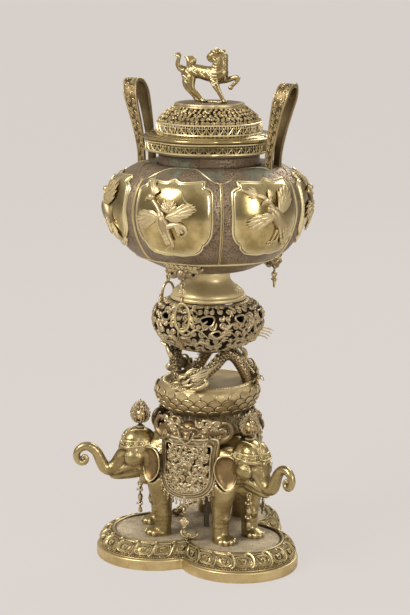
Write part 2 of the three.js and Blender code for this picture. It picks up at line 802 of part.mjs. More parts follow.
function cartouche() {
  const half = PANEL_WIDTH / 2;
  const rise = PANEL_HEIGHT / 2;
  const notch = 9;
  const shape = new THREE.Shape();
  shape.moveTo(0, PANEL_Z + rise + 3);
  const side = [
    [10, rise - 1],
    [half - notch - 6, rise],
    [half - notch - 4, rise - 7],
    [half, rise - 14],
    [half, 0],
    [half - notch - 3, -rise + 14],
    [half - notch - 12, -rise + 3],
    [half - notch - 16, -rise],
  ];
  const other = side.toReversed();
  for (const [x, z] of side) shape.lineTo(x, PANEL_Z + z);
  for (const [x, z] of other) shape.lineTo(-x, PANEL_Z + z);
  return shape;
}

function panelShape() {
  const under = turned(bowlEnvelope(GAP), -PANEL_TURNS[0]);
  const skin = turned(bowlEnvelope(PANEL_THICK + GAP), -PANEL_TURNS[0]);
  return cut(skin.intersect(standing(cartouche(), BOWL_RADIUS / 2, BOWL_RADIUS * 1.4)), under);
}

// A bird in relief: a body from beak to tail, and two wings.
function birdShape(body, wings) {
  const out = BOWL_RADIUS + PANEL_THICK - 4;
  const path = (points) => points.map(([x, y, z, radius]) => [out + x, y, PANEL_Z + z, radius]);
  const parts = wings.map((wing) => {
    return limb(path(wing), { sides: 4, steps: 2, side: vec(1, 0, 0), flat: 0.55 });
  });
  const shape = union(limb(path(body), { side: vec(1, 0, 0) }), ...parts);
  return cut(shape, turned(bowlEnvelope(PANEL_THICK + 2 * GAP), -PANEL_TURNS[0]));
}

function flyingBird() {
  const body = [
    [0, 24, 28, 4],
    [4, 16, 18, 6],
    [6, 4, 2, 11],
    [4, -4, -16, 9],
    [-3, -4, -34, 4],
  ];
  const right = [
    [3, 4, 4, 10],
    [3, 26, -4, 12],
    [-2, 42, -12, 5],
  ];
  const left = [
    [3, 2, 4, 10],
    [4, -22, 8, 13],
    [-1, -40, 14, 5],
  ];
  return birdShape(body, [right, left]);
}

function perchedBird() {
  const body = [
    [-2, -42, 18, 4],
    [4, -26, 12, 7],
    [6, -4, 6, 11],
    [5, 14, -8, 10],
    [-3, 30, -28, 4],
  ];
  const upper = [
    [3, 2, 4, 10],
    [4, 20, 16, 13],
    [-1, 34, 26, 5],
  ];
  const lower = [
    [3, 2, -2, 9],
    [3, -16, -10, 10],
    [-1, -32, -14, 4],
  ];
  return birdShape(body, [upper, lower]);
}

// Ring masks under the bowl, with an eye in the chin
const RING_OUT = 96;
const MASK_LOW_Z = 422;
const MASK_EYE = vec(RING_OUT, 0, MASK_LOW_Z - 6);

function ringMaskShape() {
  const z = MASK_LOW_Z;
  const face = union(
    ball(RING_OUT - 4, 0, z + 12, 13, 22, 13),
    ball(RING_OUT + 2, 0, z + 4, 9, 10, 8),
  );
  const eye = ring(MASK_EYE.x, 0, MASK_EYE.z, EYE_RADIUS, WIRE, "x");
  const shape = union(face, eye);
  return cut(shape, turned(bowlEnvelope(GAP), -30));
}

// A rosette link that hangs on the mask's eye, and the long ring below it
const LINK_DROP = 19;
const LINK_EYE = vec(RING_OUT, 0, MASK_EYE.z - LINK_DROP);

function linkShape(withEye) {
  const loopZ = loopUnder(MASK_EYE);
  const x = MASK_EYE.x;
  const loop = ring(x, 0, loopZ, EYE_RADIUS, WIRE, "y");
  const rosette = ball(x, 0, loopZ - EYE_RADIUS - 4, 3, 6, 5);
  if (!withEye) {
    const drop = ring(x, 0, loopZ - EYE_RADIUS - 11, 3, WIRE, "x", 1.5);
    return union(loop, rosette, drop);
  }
  return union(loop, rosette, ring(x, 0, LINK_EYE.z, EYE_RADIUS, WIRE, "x"));
}

const RING_WIDTH = 11;
const RING_STRETCH = 1.8;
const RING_WIRE = 2;

function swingRingShape() {
  const x = LINK_EYE.x;
  const loopZ = loopUnder(LINK_EYE);
  const loop = ring(x, 0, loopZ, EYE_RADIUS, WIRE, "y");
  const top = LINK_EYE.z - EYE_RADIUS - WIRE - GAP;
  const centreZ = top - (RING_WIDTH + RING_WIRE) * RING_STRETCH;
  const hoop = ring(x, 0, centreZ, RING_WIDTH, RING_WIRE, "x", RING_STRETCH, 14);
  const ear = (side) => ball(x, side * (RING_WIDTH + 3), centreZ - 4, 2, 4, 7, 6);
  return union(loop, hoop, ear(1), ear(-1));
}

// Gallery: a pierced lobed ring on the bowl's mouth
function galleryShape() {
  const low = BOWL_TOP_Z + GAP;
  const top = GALLERY_TOP_Z;
  const r = GALLERY_RADIUS;
  const profile = [
    [r, low, 0.05],
    [r, low + 4, 0.05],
    [r - 1, top - 2.5, 0.05],
    [r, top, 0.05],
    [r - 5, top, 0.05],
    [r - 4.5, low + 4, 0.05],
    [68, low + 4, 0],
    [68, low, 0],
  ];
  const shape = turning(closed(profile));
  const height = top - low - 8;
  const holes = [];
  for (let i = 0; i < 18; i++) {
    holes.push(turned(box(r - 5, 0, low + 5 + height / 2, 24, 12, height), 20 * i + 10));
  }
  return cut(shape, ...holes);
}

// Lid: lobed flange, pierced dome and level disc in one casting
function lidShape() {
  const low = GALLERY_TOP_Z + GAP;
  const r = LID_RADIUS;
  const flangeTop = low + LID_FLANGE;
  const profile = [
    [r - 3, low, 0.05],
    [r, low + 3.5, 0.05],
    [r - 6, low + 6.5, 0.05],
    [DOME_RADIUS, flangeTop, 0.05],
    [DOME_RADIUS, flangeTop + 14, 0.05],
    [DOME_RADIUS - 11, flangeTop + 27, 0.05],
    [DISC_RADIUS, DISC_Z, 0.05],
    [DISC_RADIUS, DISC_TOP_Z, 0.05],
    [FINIAL_PEG + GAP, DISC_TOP_Z, 0],
    [FINIAL_PEG + GAP, DISC_Z - 1, 0],
    [DISC_RADIUS - 1, DISC_Z - 4, 0.05],
    [DOME_RADIUS - 13, flangeTop + 23, 0.05],
    [DOME_RADIUS - 3, flangeTop + 12, 0.05],
    [DOME_RADIUS - 3, low - 4, 0.05],
    [DOME_RADIUS + 1, low - 4, 0.05],
    [DOME_RADIUS + 1, low, 0.05],
  ];
  const shape = turning(closed(profile));
  const holes = [];
  for (let i = 0; i < 12; i++) {
    holes.push(turned(box(DOME_RADIUS, 0, flangeTop + 8, 24, 18, 7), 30 * i + 15));
  }
  for (let i = 0; i < 12; i++) {
    const hole = rod(vec(50, 0, flangeTop + 14), vec(90, 0, flangeTop + 40), 5, 4);
    holes.push(turned(hole, 30 * i + 15));
  }
  return cut(shape, ...holes);
}

// Finial: a horned beast, striding along +X with its head turned back
const FINIAL_PEG = 2.5;
const FINIAL_FOOT_Z = DISC_TOP_Z + GAP;

function finialShape() {
  const z = FINIAL_FOOT_Z;
  const high = FINIAL_TOP_Z;
  const trunk = limb(
    [
      [-34, 0, z + 38, 9],
      [-26, 0, z + 42, 10.5],
      [-16, 0, z + 43, 9],
      [-4, 0, z + 40.5, 10],
      [10, 0, z + 39, 11.5],
      [18, 0, z + 41, 10],
    ],
    { side: vec(0, 1, 0) },
  );
  const neck = limb(
    [
      [12, 0, z + 42, 11.5],
      [16, 0, z + 54, 10.5],
      [15, -1, z + 62, 9],
      [12, -2, z + 66, 7.5],
    ],
    { side: vec(0, 1, 0) },
  );
  const head = union(
    ball(12, -2, z + 66, 10, 7.5, 8.5),
    ball(3, -3, z + 63, 6.5, 5.5, 5.5),
    rod(vec(11, 1, z + 70), vec(15, 1.5, high), 2.2, 4, 0.9),
    rod(vec(10, -5, z + 70), vec(12, -5.5, high - 1), 2.2, 4, 0.9),
  );
  const hind = (side, step) =>
    limb(
      [
        [-35 + step / 2, side * 4, z + 34, 8.5],
        [-37 + step * 0.7, side * 6, z + 24, 7],
        [-35 + step * 0.8, side * 7, z + 17, 5],
        [-28 + step, side * 7, z + 9, 3.4],
        [-23 + step, side * 7, z + 1, 3.2],
      ],
      { side: vec(0, 1, 0) },
    );
  const planted = limb(
    [
      [8, -5, z + 34, 8],
      [12, -7, z + 24, 5.5],
      [17, -7, z + 15, 3.6],
      [24.5, -7, z + 1, 3],
    ],
    { side: vec(0, 1, 0) },
  );
  const raised = limb(
    [
      [14, 4, z + 33, 6.5],
      [26, 6, z + 37, 4.6],
      [37, 6, z + 35, 3.8],
      [39, 6, z + 30, 3.2],
      [31, 6, z + 24, 3],
      [23, 6, z + 20, 3.2],
    ],
    { side: vec(0, 1, 0) },
  );
  const tail = limb(
    [
      [-34, 0, z + 44, 4.5],
      [-43, 0, z + 46, 4.6],
      [-49, 0, z + 52, 4.2],
      [-47, 0, z + 61, 3.8],
      [-47, 0, z + 67, 3],
      [-53, 0, z + 70, 1.8],
    ],
    { side: vec(0, 1, 0) },
  );
  const plume = limb(
    [
      [-33, 1, z + 48, 4],
      [-27, 1, z + 55, 5.5],
      [-27, 1, z + 61, 4.5],
      [-34, 1, z + 67, 1.8],
    ],
    { side: vec(0, 1, 0) },
  );
  const paws = union(
    ball(-21, 7, z + 2, 5, 3.5, 3, 6),
    ball(-7, -7, z + 2, 5, 3.5, 3, 6),
    ball(25.5, -7, z + 2, 4, 3.2, 3, 6),
  );
  const pad = limb([[-22, 7, z + 1, 2.5], [-2, 0, z + 1, 4.5], [25, -7, z + 1, 2]], {
    side: vec(0, 0, 1),
    flat: 0.6,
  });
  const body = union(trunk, neck, head, hind(1, 0), hind(-1, 14.5), planted, raised, tail, plume);
  const level = bar(120, 0, z);
  const peg = bar(FINIAL_PEG, DISC_Z - 8, z + 1, 12);
  return union(cut(union(body, paws, pad), level), peg);
}

// Handles: a strap bent over in a loop, leaning out from the shoulder
function handleShape() {
  const lean = (z) => {
    const share = Math.max(z - HANDLE_FOOT_Z, 0) / (HANDLE_TOP_Z - HANDLE_FOOT_Z);
    return HANDLE_OUT + (HANDLE_TOP_OUT - HANDLE_OUT) * share ** 1.4;
  };
  const point = (y, z, radius) => [lean(z), y, z, radius];
  const foot = HANDLE_SPREAD * 0.85;
  const crown = HANDLE_TOP_Z;
  const path = [
    point(-foot, HANDLE_FOOT_Z - 20, STRAP_WIDTH * 0.38),
    point(-foot, HANDLE_FOOT_Z + 14, STRAP_WIDTH * 0.38),
    point(-foot - 1, HANDLE_FOOT_Z + 45, STRAP_WIDTH * 0.52),
    point(-HANDLE_SPREAD - 1, crown - 38, STRAP_WIDTH * 0.62),
    point(-HANDLE_SPREAD, crown - 18, STRAP_WIDTH * 0.66),
    point(-HANDLE_SPREAD * 0.6, crown - 5, STRAP_WIDTH * 0.66),
    point(0, crown - 1.5, STRAP_WIDTH * 0.66),
    point(HANDLE_SPREAD * 0.6, crown - 5, STRAP_WIDTH * 0.66),
    point(HANDLE_SPREAD, crown - 18, STRAP_WIDTH * 0.66),
    point(HANDLE_SPREAD + 1, crown - 38, STRAP_WIDTH * 0.62),
    point(foot + 1, HANDLE_FOOT_Z + 45, STRAP_WIDTH * 0.52),
    point(foot, HANDLE_FOOT_Z + 14, STRAP_WIDTH * 0.38),
    point(foot, HANDLE_FOOT_Z - 20, STRAP_WIDTH * 0.38),
  ];
  return cut(strap(path), bowlEnvelope(GAP));
}

// A flat strap that follows points [x, y, z, half width]; its width lies along X.
function strap(points, steps = 20) {
  const curve = new THREE.CatmullRomCurve3(points.map((p) => vec(p[0], p[1], p[2])));
  const shape = new THREE.CylinderGeometry(Math.SQRT2, Math.SQRT2, 1, 4, steps);
  shape.rotateY(Math.PI / 4);
  const place = shape.attributes.position;
  for (let i = 0; i < place.count; i++) {
    const t = THREE.MathUtils.clamp(0.5 - place.getY(i), 0, 1);
    const share = t * (points.length - 1);
    const low = Math.min(Math.floor(share), points.length - 2);
    const half = THREE.MathUtils.lerp(points[low][3], points[low + 1][3], share - low);
    const centre = curve.getPoint(t);
    const tangent = curve.getTangent(t);
    const across = vec(1, 0, 0).addScaledVector(tangent, -tangent.x).normalize();
    const normal = vec(0, 0, 0).crossVectors(tangent, across);
    centre.addScaledVector(across, place.getX(i) * half);
    centre.addScaledVector(normal, place.getZ(i) * (STRAP_THICK / 2));
    place.setXYZ(i, centre.x, centre.y, centre.z);
  }
  return solid(shape);
}

// Assembly
const ELEPHANTS = [
  ["rear", 90],
  ["left", 210],
  ["right", 330],
];
const CLOTHS = [
  ["right", 30],
  ["rear", 150],
  ["front", 270],
];

piece("plinth", plinthShape(), BRONZE);
piece("tie_rod", tieRodShape(), STEEL);

const body = elephantBody();
const head = elephantHead();
const jewel = jewelShape();
const chestPendant = pendantShape(CHEST_EYE, 42, 4, 6);
for (const [name, turn] of ELEPHANTS) {
  piece(`elephant_body_${name}`, body, BRASS, turn);
  piece(`elephant_head_${name}`, head, BRASS, turn);
  piece(`flaming_jewel_${name}`, jewel, BRONZE, turn);
  piece(`chest_pendant_${name}`, chestPendant, BRONZE, turn);
}

const cloth = clothShape();
const mask = maskShape();
const clothPendant = pendantShape(CLOTH_EYE, 34, 8, 4);
for (const [name, turn] of CLOTHS) {
  piece(`saddle_cloth_${name}`, cloth, BRONZE, turn);
  piece(`beast_mask_${name}`, mask, BRASS, turn);
  piece(`cloth_pendant_${name}`, clothPendant, BRONZE, turn);
}

piece("scroll_collar", scrollCollarShape(), BRONZE);
piece("lotus_drum", lotusShape(), BRASS);

const dragon = dragonShape();
const DRAGON_TURN = 262;
["front", "right", "rear"].forEach((name, i) => {
  piece(`dragon_${name}`, dragon, BRONZE, DRAGON_TURN + 120 * i);
});

piece("openwork_bulb", bulbShape(), BRONZE);
piece("waisted_collar", waistShape(), BRASS);
piece("bowl_bolt", bowlBoltShape(), STEEL);
piece("bowl_nut", nutShape(BOWL_FLOOR_Z + GAP + NUT_HEIGHT), STEEL);
piece("bowl", bowlShape(), PATINA);

const panel = panelShape();
const birds = [flyingBird(), perchedBird()];
PANEL_TURNS.forEach((turn, i) => {
  piece(`panel_${i + 1}`, panel, BRASS, turn);
  piece(`relief_bird_${i + 1}`, birds[i % 2], BRONZE, turn);
});

const ringMask = ringMaskShape();
for (const [name, turn] of CLOTHS) {
  const whole = name !== "right";
  piece(`ring_mask_${name}`, ringMask, PATINA, turn);
  piece(`rosette_link_${name}`, linkShape(whole), BRONZE, turn);
  if (whole) piece(`swing_ring_${name}`, swingRingShape(), BRASS, turn);
}

piece("gallery", galleryShape(), BRASS);
piece("lid", lidShape(), BRASS);
piece("finial_beast", finialShape(), BRASS);
piece("finial_nut", nutShape(DISC_Z - 1.5 - GAP, FINIAL_PEG), STEEL);

const handle = handleShape();
piece("handle_right", handle, BRONZE, 0);
piece("handle_left", handle, BRONZE, 180);

export default object;
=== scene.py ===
import bisect
import math

import bmesh
import bpy
from mathutils import Matrix, Vector, noise
from mathutils.bvhtree import BVHTree


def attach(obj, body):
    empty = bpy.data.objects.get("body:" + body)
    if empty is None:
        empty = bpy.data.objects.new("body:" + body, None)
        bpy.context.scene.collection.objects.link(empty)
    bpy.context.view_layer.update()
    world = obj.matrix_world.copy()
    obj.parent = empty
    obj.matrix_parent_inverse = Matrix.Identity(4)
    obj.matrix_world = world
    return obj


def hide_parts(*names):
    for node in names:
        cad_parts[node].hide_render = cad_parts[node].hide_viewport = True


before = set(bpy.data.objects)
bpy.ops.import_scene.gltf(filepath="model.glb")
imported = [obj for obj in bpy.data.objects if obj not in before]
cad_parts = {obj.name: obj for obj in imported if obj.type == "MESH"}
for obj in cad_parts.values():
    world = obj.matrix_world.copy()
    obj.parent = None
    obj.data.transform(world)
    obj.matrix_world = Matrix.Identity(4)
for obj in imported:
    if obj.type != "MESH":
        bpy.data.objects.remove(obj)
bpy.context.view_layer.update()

MM = 0.001
TAU = 2 * math.pi

# Sizes of the frame, in millimetres
GAP = 0.3
LOBE_CENTRE = 76
LOBE_RADIUS = 85
LOBE_BLEND = 10
RIM_HEIGHT = 15
FLOOR_Z = 36
LIP_TOP = FLOOR_Z + 3
LEG_OUT = 68
LEG_SIDE = 27
LEG_RADIUS = 11.5
BELLY_Z = 98
BACK_Z = 188
HEAD_OUT = 101
HEAD_Z = 163
HEAD_RADIUS = 29
NECK_OUT = 83
EAR_OUT = 86
EAR_SIDE = 31.5
EAR_Z = 144
EAR_WIDTH = 32
EAR_HEIGHT = 48
EAR_TURN = 49
CLOTH_TOP_RADIUS = 73
CLOTH_FOOT_RADIUS = 82
CLOTH_THICK = 4
CLOTH_WIDTH = 86
CLOTH_FOOT_Z = 102
LOTUS_Z = 218
LOTUS_TOP_Z = 260
LOTUS_RADIUS = 76
PETALS = 24
BULB_Z = 312
BULB_TOP_Z = 379
BULB_RADIUS = 81
WAIST_TOP_Z = 421
BOWL_RADIUS = 141
BOWL_NECK_RADIUS = 72
BOWL_TOP_Z = 593
BOWL_WALL = 6
PANEL_THICK = 2.4
PANEL_WIDTH = 112
PANEL_HEIGHT = 98
PANEL_Z = 512
GALLERY_RADIUS = 92
GALLERY_TOP_Z = 609.5
LID_RADIUS = 95
LID_FLANGE = 9
DOME_RADIUS = 74.5
DISC_Z = 656
DISC_TOP_Z = 660
DISC_RADIUS = 48
FINIAL_TOP_Z = 737
HANDLE_OUT = 96
HANDLE_TOP_OUT = 118
HANDLE_FOOT_Z = 578
HANDLE_TOP_Z = 689
HANDLE_SPREAD = 20
STRAP_WIDTH = 15
STRAP_THICK = 5.5

ELEPHANTS = {"rear": 90, "left": 210, "right": 330}
CLOTHS = {"right": 30, "rear": 150, "front": 270}


# Shapes
def eased(points, steps=6):
    """More points along a smooth curve through points of any size."""
    known = [Vector(p) for p in points]
    ends = [2 * known[0] - known[1], *known, 2 * known[-1] - known[-2]]
    path = []
    for a, b, c, d in zip(ends, ends[1:], ends[2:], ends[3:]):
        for i in range(steps):
            t = i / steps
            bend = (2 * a - 5 * b + 4 * c - d) * t * t
            sway = (3 * b - a - 3 * c + d) * t**3
            path.append(0.5 * (2 * b + (c - a) * t + bend + sway))
    path.append(known[-1])
    return path


def tipped(path):
    """A path of (x, y, z, radius) points with its ends rounded off."""

    def tip(end, inner):
        away = (end.xyz - inner.xyz).normalized()
        points = []
        for turn in (0.55, 1.05, 1.4, math.pi / 2):
            place = end.xyz + away * end.w * math.sin(turn)
            points.append(Vector((*place, end.w * math.cos(turn))))
        return points

    path = [Vector(p) for p in path]
    return [*reversed(tip(path[0], path[1])), *path, *tip(path[-1], path[-2])]


def frames(path, up=None):
    """For each path point: its place, the two directions across it and the length so far."""
    places = [Vector(p[:3]) for p in path]
    closed = (places[0] - places[-1]).length < 1e-6
    across = None
    run = 0.0
    result = []
    for i, place in enumerate(places):
        before = places[i - 1] if i else places[-2 if closed else 0]
        after = places[i + 1] if i + 1 < len(places) else places[1 if closed else -1]
        tangent = (after - before).normalized()
        if up is not None:
            side = Vector(up)
        elif across is None:
            side = tangent.orthogonal()
        else:
            side = across
        across = (side - tangent * side.dot(tangent)).normalized()
        run += (place - places[i - 1]).length if i else 0.0
        result.append((place, across, tangent.cross(across), run))
    return result


def join(shape, part):
    """Moves a small finished part into a shape."""
    mesh = bpy.data.meshes.new("blank")
    part.to_mesh(mesh)
    part.free()
    shape.from_mesh(mesh)
    bpy.data.meshes.remove(mesh)


def sweep(shape, path, sides=10, up=None, flat=1.0, square=1.0, swell=None, place=None):
    """Bends a grid into a bar through path points (x, y, z, radius).

    up keeps it untwisted, flat squashes it along up, square below 1 makes its section a
    rounded box, swell(length, angle) is the share by which a point stands out, and
    place(x, y, z) lays it on a surface.
    """
    spine = frames(path, up)
    last = len(path) - 1
    part = bmesh.new()
    bmesh.ops.create_grid(part, x_segments=sides, y_segments=last, size=1)
    for point in part.verts:
        turn = (point.co.x + 1) / 2 * TAU
        station = round((point.co.y + 1) / 2 * last)
        middle, across, other, run = spine[station]
        radius = path[station][3]
        if swell:
            radius *= 1 + swell(run, turn)
        c, s = math.cos(turn), math.sin(turn)
        high = math.copysign(abs(c) ** square, c) * flat
        wide = math.copysign(abs(s) ** square, s)
        point.co = middle + radius * (across * high + other * wide)
        if place:
            point.co = place(*point.co)
    join(shape, part)


def limb(shape, points, steps=5, **how):
    """A bar with rounded ends along a smooth curve through (x, y, z, radius) points."""
    sweep(shape, tipped(eased(points, steps)), **how)


def ball(shape, place, radii, turn=None, sides=20):
    """An ellipsoid."""
    matrix = Matrix.Translation(place) @ (turn or Matrix()) @ Matrix.Diagonal((*radii, 1))
    part = bmesh.new()
    bmesh.ops.create_uvsphere(part, u_segments=sides, v_segments=sides // 2, radius=1, matrix=matrix)
    join(shape, part)


def bead(shape, place, radius):
    """A small bead of few faces."""
    part = bmesh.new()
    bmesh.ops.create_icosphere(part, subdivisions=1, radius=radius, matrix=Matrix.Translation(place))
    join(shape, part)


def ring(shape, centre, radius, wire, axis="X", stretch=1.0, steps=28):
    """A ring of round wire across an axis, drawn out along Z by stretch."""
    across = {"X": Vector((0, 1, 0)), "Y": Vector((1, 0, 0))}[axis]
    path = []
    for k in range(steps + 1):
        turn = TAU * k / steps
        aside = across * radius * math.cos(turn)
        spot = Vector(centre) + aside + Vector((0, 0, radius * stretch * math.sin(turn)))
        path.append((*spot, wire))
    up = {"X": (1, 0, 0), "Y": (0, 1, 0)}[axis]
    sweep(shape, path, sides=10, up=up)


def seen_from(shape):
    """A look(place, direction) that gives where a line meets a shape, and its normal there."""
    tree = BVHTree.FromBMesh(shape)

    def look(place, direction):
        spot, normal, index, far = tree.ray_cast(Vector(place), Vector(direction).normalized())
        return spot, normal

    return look


def rosette(shape, place, normal, size, petals=6):
    """A small flower: a bead with a ring of petals, on a face with a normal."""
    turn = Vector(normal).to_track_quat("Z", "Y").to_matrix().to_4x4()
    spot = Matrix.Translation(place) @ turn
    ball(shape, spot @ Vector((0, 0, size * 0.3)), (size * 0.34,) * 3, sides=10)
    for k in range(petals):
        angle = TAU * k / petals
        leaf = Vector((math.cos(angle) * size * 0.62, math.sin(angle) * size * 0.62, 0))
        tilt = turn @ Matrix.Rotation(angle, 4, "Z")
        ball(shape, spot @ leaf, (size * 0.36, size * 0.27, size * 0.2), tilt, sides=8)


def rounded(profile, radius, steps=3):
    """A profile of (radius, height, ...) points whose corners are rounded off."""
    points = [Vector(p) for p in profile]
    result = [points[0]]
    for before, corner, after in zip(points, points[1:], points[2:]):
        back = before - corner
        ahead = after - corner
        start = corner + back.normalized() * min(radius, back.length * 0.45)
        end = corner + ahead.normalized() * min(radius, ahead.length * 0.45)
        for i in range(steps + 1):
            t = i / steps
            result.append((1 - t) ** 2 * start + 2 * t * (1 - t) * corner + t * t * end)
    result.append(points[-1])
    return result


def spun(profile, steps=120, closed=True, place=None):
    """A turned shape of (radius, height, lobe depth) points; place moves each point."""
    shape = bmesh.new()
    lobe = shape.verts.layers.float.new("lobe")
    points = []
    for spot in profile:
        point = shape.verts.new((max(spot[0], 0), 0, spot[1]))
        point[lobe] = spot[2] if len(spot) > 2 else 0
        points.append(point)
    ends = [*points[1:], points[0]] if closed else points[1:]
    edges = [shape.edges.new(pair) for pair in zip(points, ends)]
    bmesh.ops.spin(
        shape,
        geom=points + edges,
        cent=(0, 0, 0),
        axis=(0, 0, 1),
        angle=TAU,
        steps=steps,
        use_merge=True,
    )
    bmesh.ops.remove_doubles(shape, verts=shape.verts, dist=1e-3)
    for point in shape.verts:
        angle = math.atan2(point.co.y, point.co.x)
        scale = 1 - point[lobe] * lobe_share(angle)
        point.co.x *= scale
        point.co.y *= scale
        if place:
            point.co = place(point.co, angle)
    bmesh.ops.recalc_face_normals(shape, faces=shape.faces)
    return shape


def lobe_share(angle):
    """How far a six-lobed outline draws in: 1 on a rib and 0 at a lobe's middle."""
    return 1 - abs(math.sin(3 * angle)) ** 0.8


def skin_of(profile, first_angle=0.0):
    """A place(across, up, out) on a turned surface of (radius, height, lobe depth) points.

    across is a length round the surface at its widest, up a length along the profile.
    """
    points = [Vector((p[0], p[1], p[2] if len(p) > 2 else 0)) for p in profile]
    rows = []
    run = 0.0
    for i, point in enumerate(points):
        if i:
            run += (point.xy - points[i - 1].xy).length
        ahead = (points[min(i + 1, len(points) - 1)] - points[max(i - 1, 0)]).xy.normalized()
        rows.append((run, *point, ahead.y, -ahead.x))
    widest = max(p[0] for p in points)
    read = reader(rows)

    def place(across, up, out=0.0):
        row = read(up)
        angle = first_angle + across / widest
        radius = row[1] * (1 - row[3] * lobe_share(angle)) + out * row[4]
        return Vector((radius * math.cos(angle), radius * math.sin(angle), row[2] + out * row[5]))

    place.height = run
    place.length = widest * TAU
    return place


def reader(rows):
    """A read(key) that gives a straight-line reading between rows (key, value, ...)."""
    keys = [row[0] for row in rows]

    def read(key):
        i = min(max(bisect.bisect_left(keys, key), 1), len(rows) - 1)
        low, high = rows[i - 1], rows[i]
        share = min(max((key - low[0]) / max(high[0] - low[0], 1e-6), -0.2), 1.2)
        return [a + (b - a) * share for a, b in zip(low, high)]

    return read


def nested(shape, outline, levels, place, back=False, front=True):
    """A raised field: an outline drawn inwards in steps of (share, height out).

    back closes it over its first step and front over its last.
    """
    part = bmesh.new()
    points = [part.verts.new((x, y, 0)) for x, y in outline]
    middle = sum((Vector(p) for p in outline), Vector((0, 0))) / len(outline)
    edges = [part.edges.new(pair) for pair in zip(points, [*points[1:], points[0]])]
    if back:
        bmesh.ops.contextual_create(part, geom=edges)
    flat = [Vector(p) for p in outline]
    made = list(zip(points, flat, [levels[0]] * len(flat)))
    drawn = dict(zip(points, flat))
    for level in levels[1:]:
        grown = bmesh.ops.extrude_edge_only(part, edges=edges)["geom"]
        fresh = [g for g in grown if isinstance(g, bmesh.types.BMVert)]
        kept = set(fresh)
        edges = [
            g
            for g in grown
            if isinstance(g, bmesh.types.BMEdge) and g.verts[0] in kept and g.verts[1] in kept
        ]
        source = {}
        for point in fresh:
            for edge in point.link_edges:
                other = edge.other_vert(point)
                if other in drawn:
                    source[point] = drawn[other]
        made += [(point, source[point], level) for point in fresh]
        drawn = source
    if front:
        bmesh.ops.contextual_create(part, geom=edges)
    for point, spot, (share, out) in made:
        x, y = middle + (spot - middle) * share
        point.co = place(x, y, out)
    join(shape, part)


def stroke(shape, path, place, rise=1.0, steps=0, sides=6, sink=0.0):
    """A raised line on a surface, through (across, up, half width) points."""
    points = eased(path, steps) if steps else [Vector(p) for p in path]
    bar = [Vector((p[0], p[1], -sink, p[2])) for p in points]
    sweep(shape, tipped(bar), sides=sides, up=(0, 0, 1), flat=rise, place=place)


def curl(x, y, heading, size, turns=1.2, hand=1, width=1.4, steps=16, end=0.5):
    """A scroll that sets off from (x, y) along a heading and winds up into an eye."""
    path = [(x, y, width)]
    length = size / steps
    for i in range(steps):
        share = (i + 0.5) / steps
        heading += hand * turns * TAU / steps * (0.35 + 1.3 * share)
        step = length * (1.55 - 1.15 * share)
        x += step * math.cos(heading)
        y += step * math.sin(heading)
        path.append((x, y, width * (1 - (1 - end) * share)))
    path.append((x, y, width * (end + 0.35)))
    return path


def volute(x, y, size, start, hand, width, turns=1.4, steps=18):
    """A round scroll about (x, y), from a lead-in at its rim to its eye."""
    lead = start - hand * 0.75
    path = [(x + size * 1.55 * math.cos(lead), y + size * 1.55 * math.sin(lead), width * 0.8)]
    for k in range(steps + 1):
        share = k / steps
        reach = size * (1 - 0.82 * share**0.85)
        turn = start + hand * turns * TAU * share
        spot = (x + reach * math.cos(turn), y + reach * math.sin(turn), width * (1 - 0.3 * share))
        path.append(spot)
    return path


def scatter(number):
    """An even scatter of shares between 0 and 1, the same each time."""
    return math.sin(number * 12.9898 + 4.1) * 43758.5453 % 1


def scroll_field(shape, place, spots, size, width, rise=1.2, sink=0.0):
    """Scrolls of uneven size and hand about many spots of a surface."""
    for k, (x, y) in enumerate(spots):
        hand = 1 if scatter(k) > 0.5 else -1
        start = TAU * scatter(k + 0.37)
        reach = size * (0.78 + 0.44 * scatter(k + 0.71))
        deep = sink + 1.2 * scatter(k + 0.13)
        stroke(shape, volute(x, y, reach, start, hand, width), place, rise=rise, sink=deep)


def feather(shape, place, x, y, heading, length, width, bend=0.0, out=0.0):
    """A feather with a raised quill, from its root along a heading in radians."""
    path = []
    for share, wide in ((0, 0.45), (0.3, 0.95), (0.65, 1.0), (0.9, 0.6), (1, 0.15)):
        turn = heading + bend * share
        path.append((x + length * share * math.cos(turn), y + length * share * math.sin(turn), width * wide))
    stroke(shape, path, place, rise=0.75, steps=2, sink=-out)
    quill = [(px, py, 0.32) for px, py, wide in path[:4]]
    stroke(shape, quill, place, rise=1.6, sink=-(out + width * 0.62), sides=4)


def fan(shape, place, root, low, high, count, length, width, out=0.0, bend=0.0):
    """Feathers that spread from a root between two headings in degrees."""
    for k in range(count):
        share = k / max(count - 1, 1)
        heading = math.radians(low + (high - low) * share)
        reach = length * (0.82 + 0.3 * math.sin(math.pi * share))
        lift = out + 1.3 * (k % 2)
        feather(shape, place, root[0], root[1], heading, reach, width * 0.86, bend, lift)


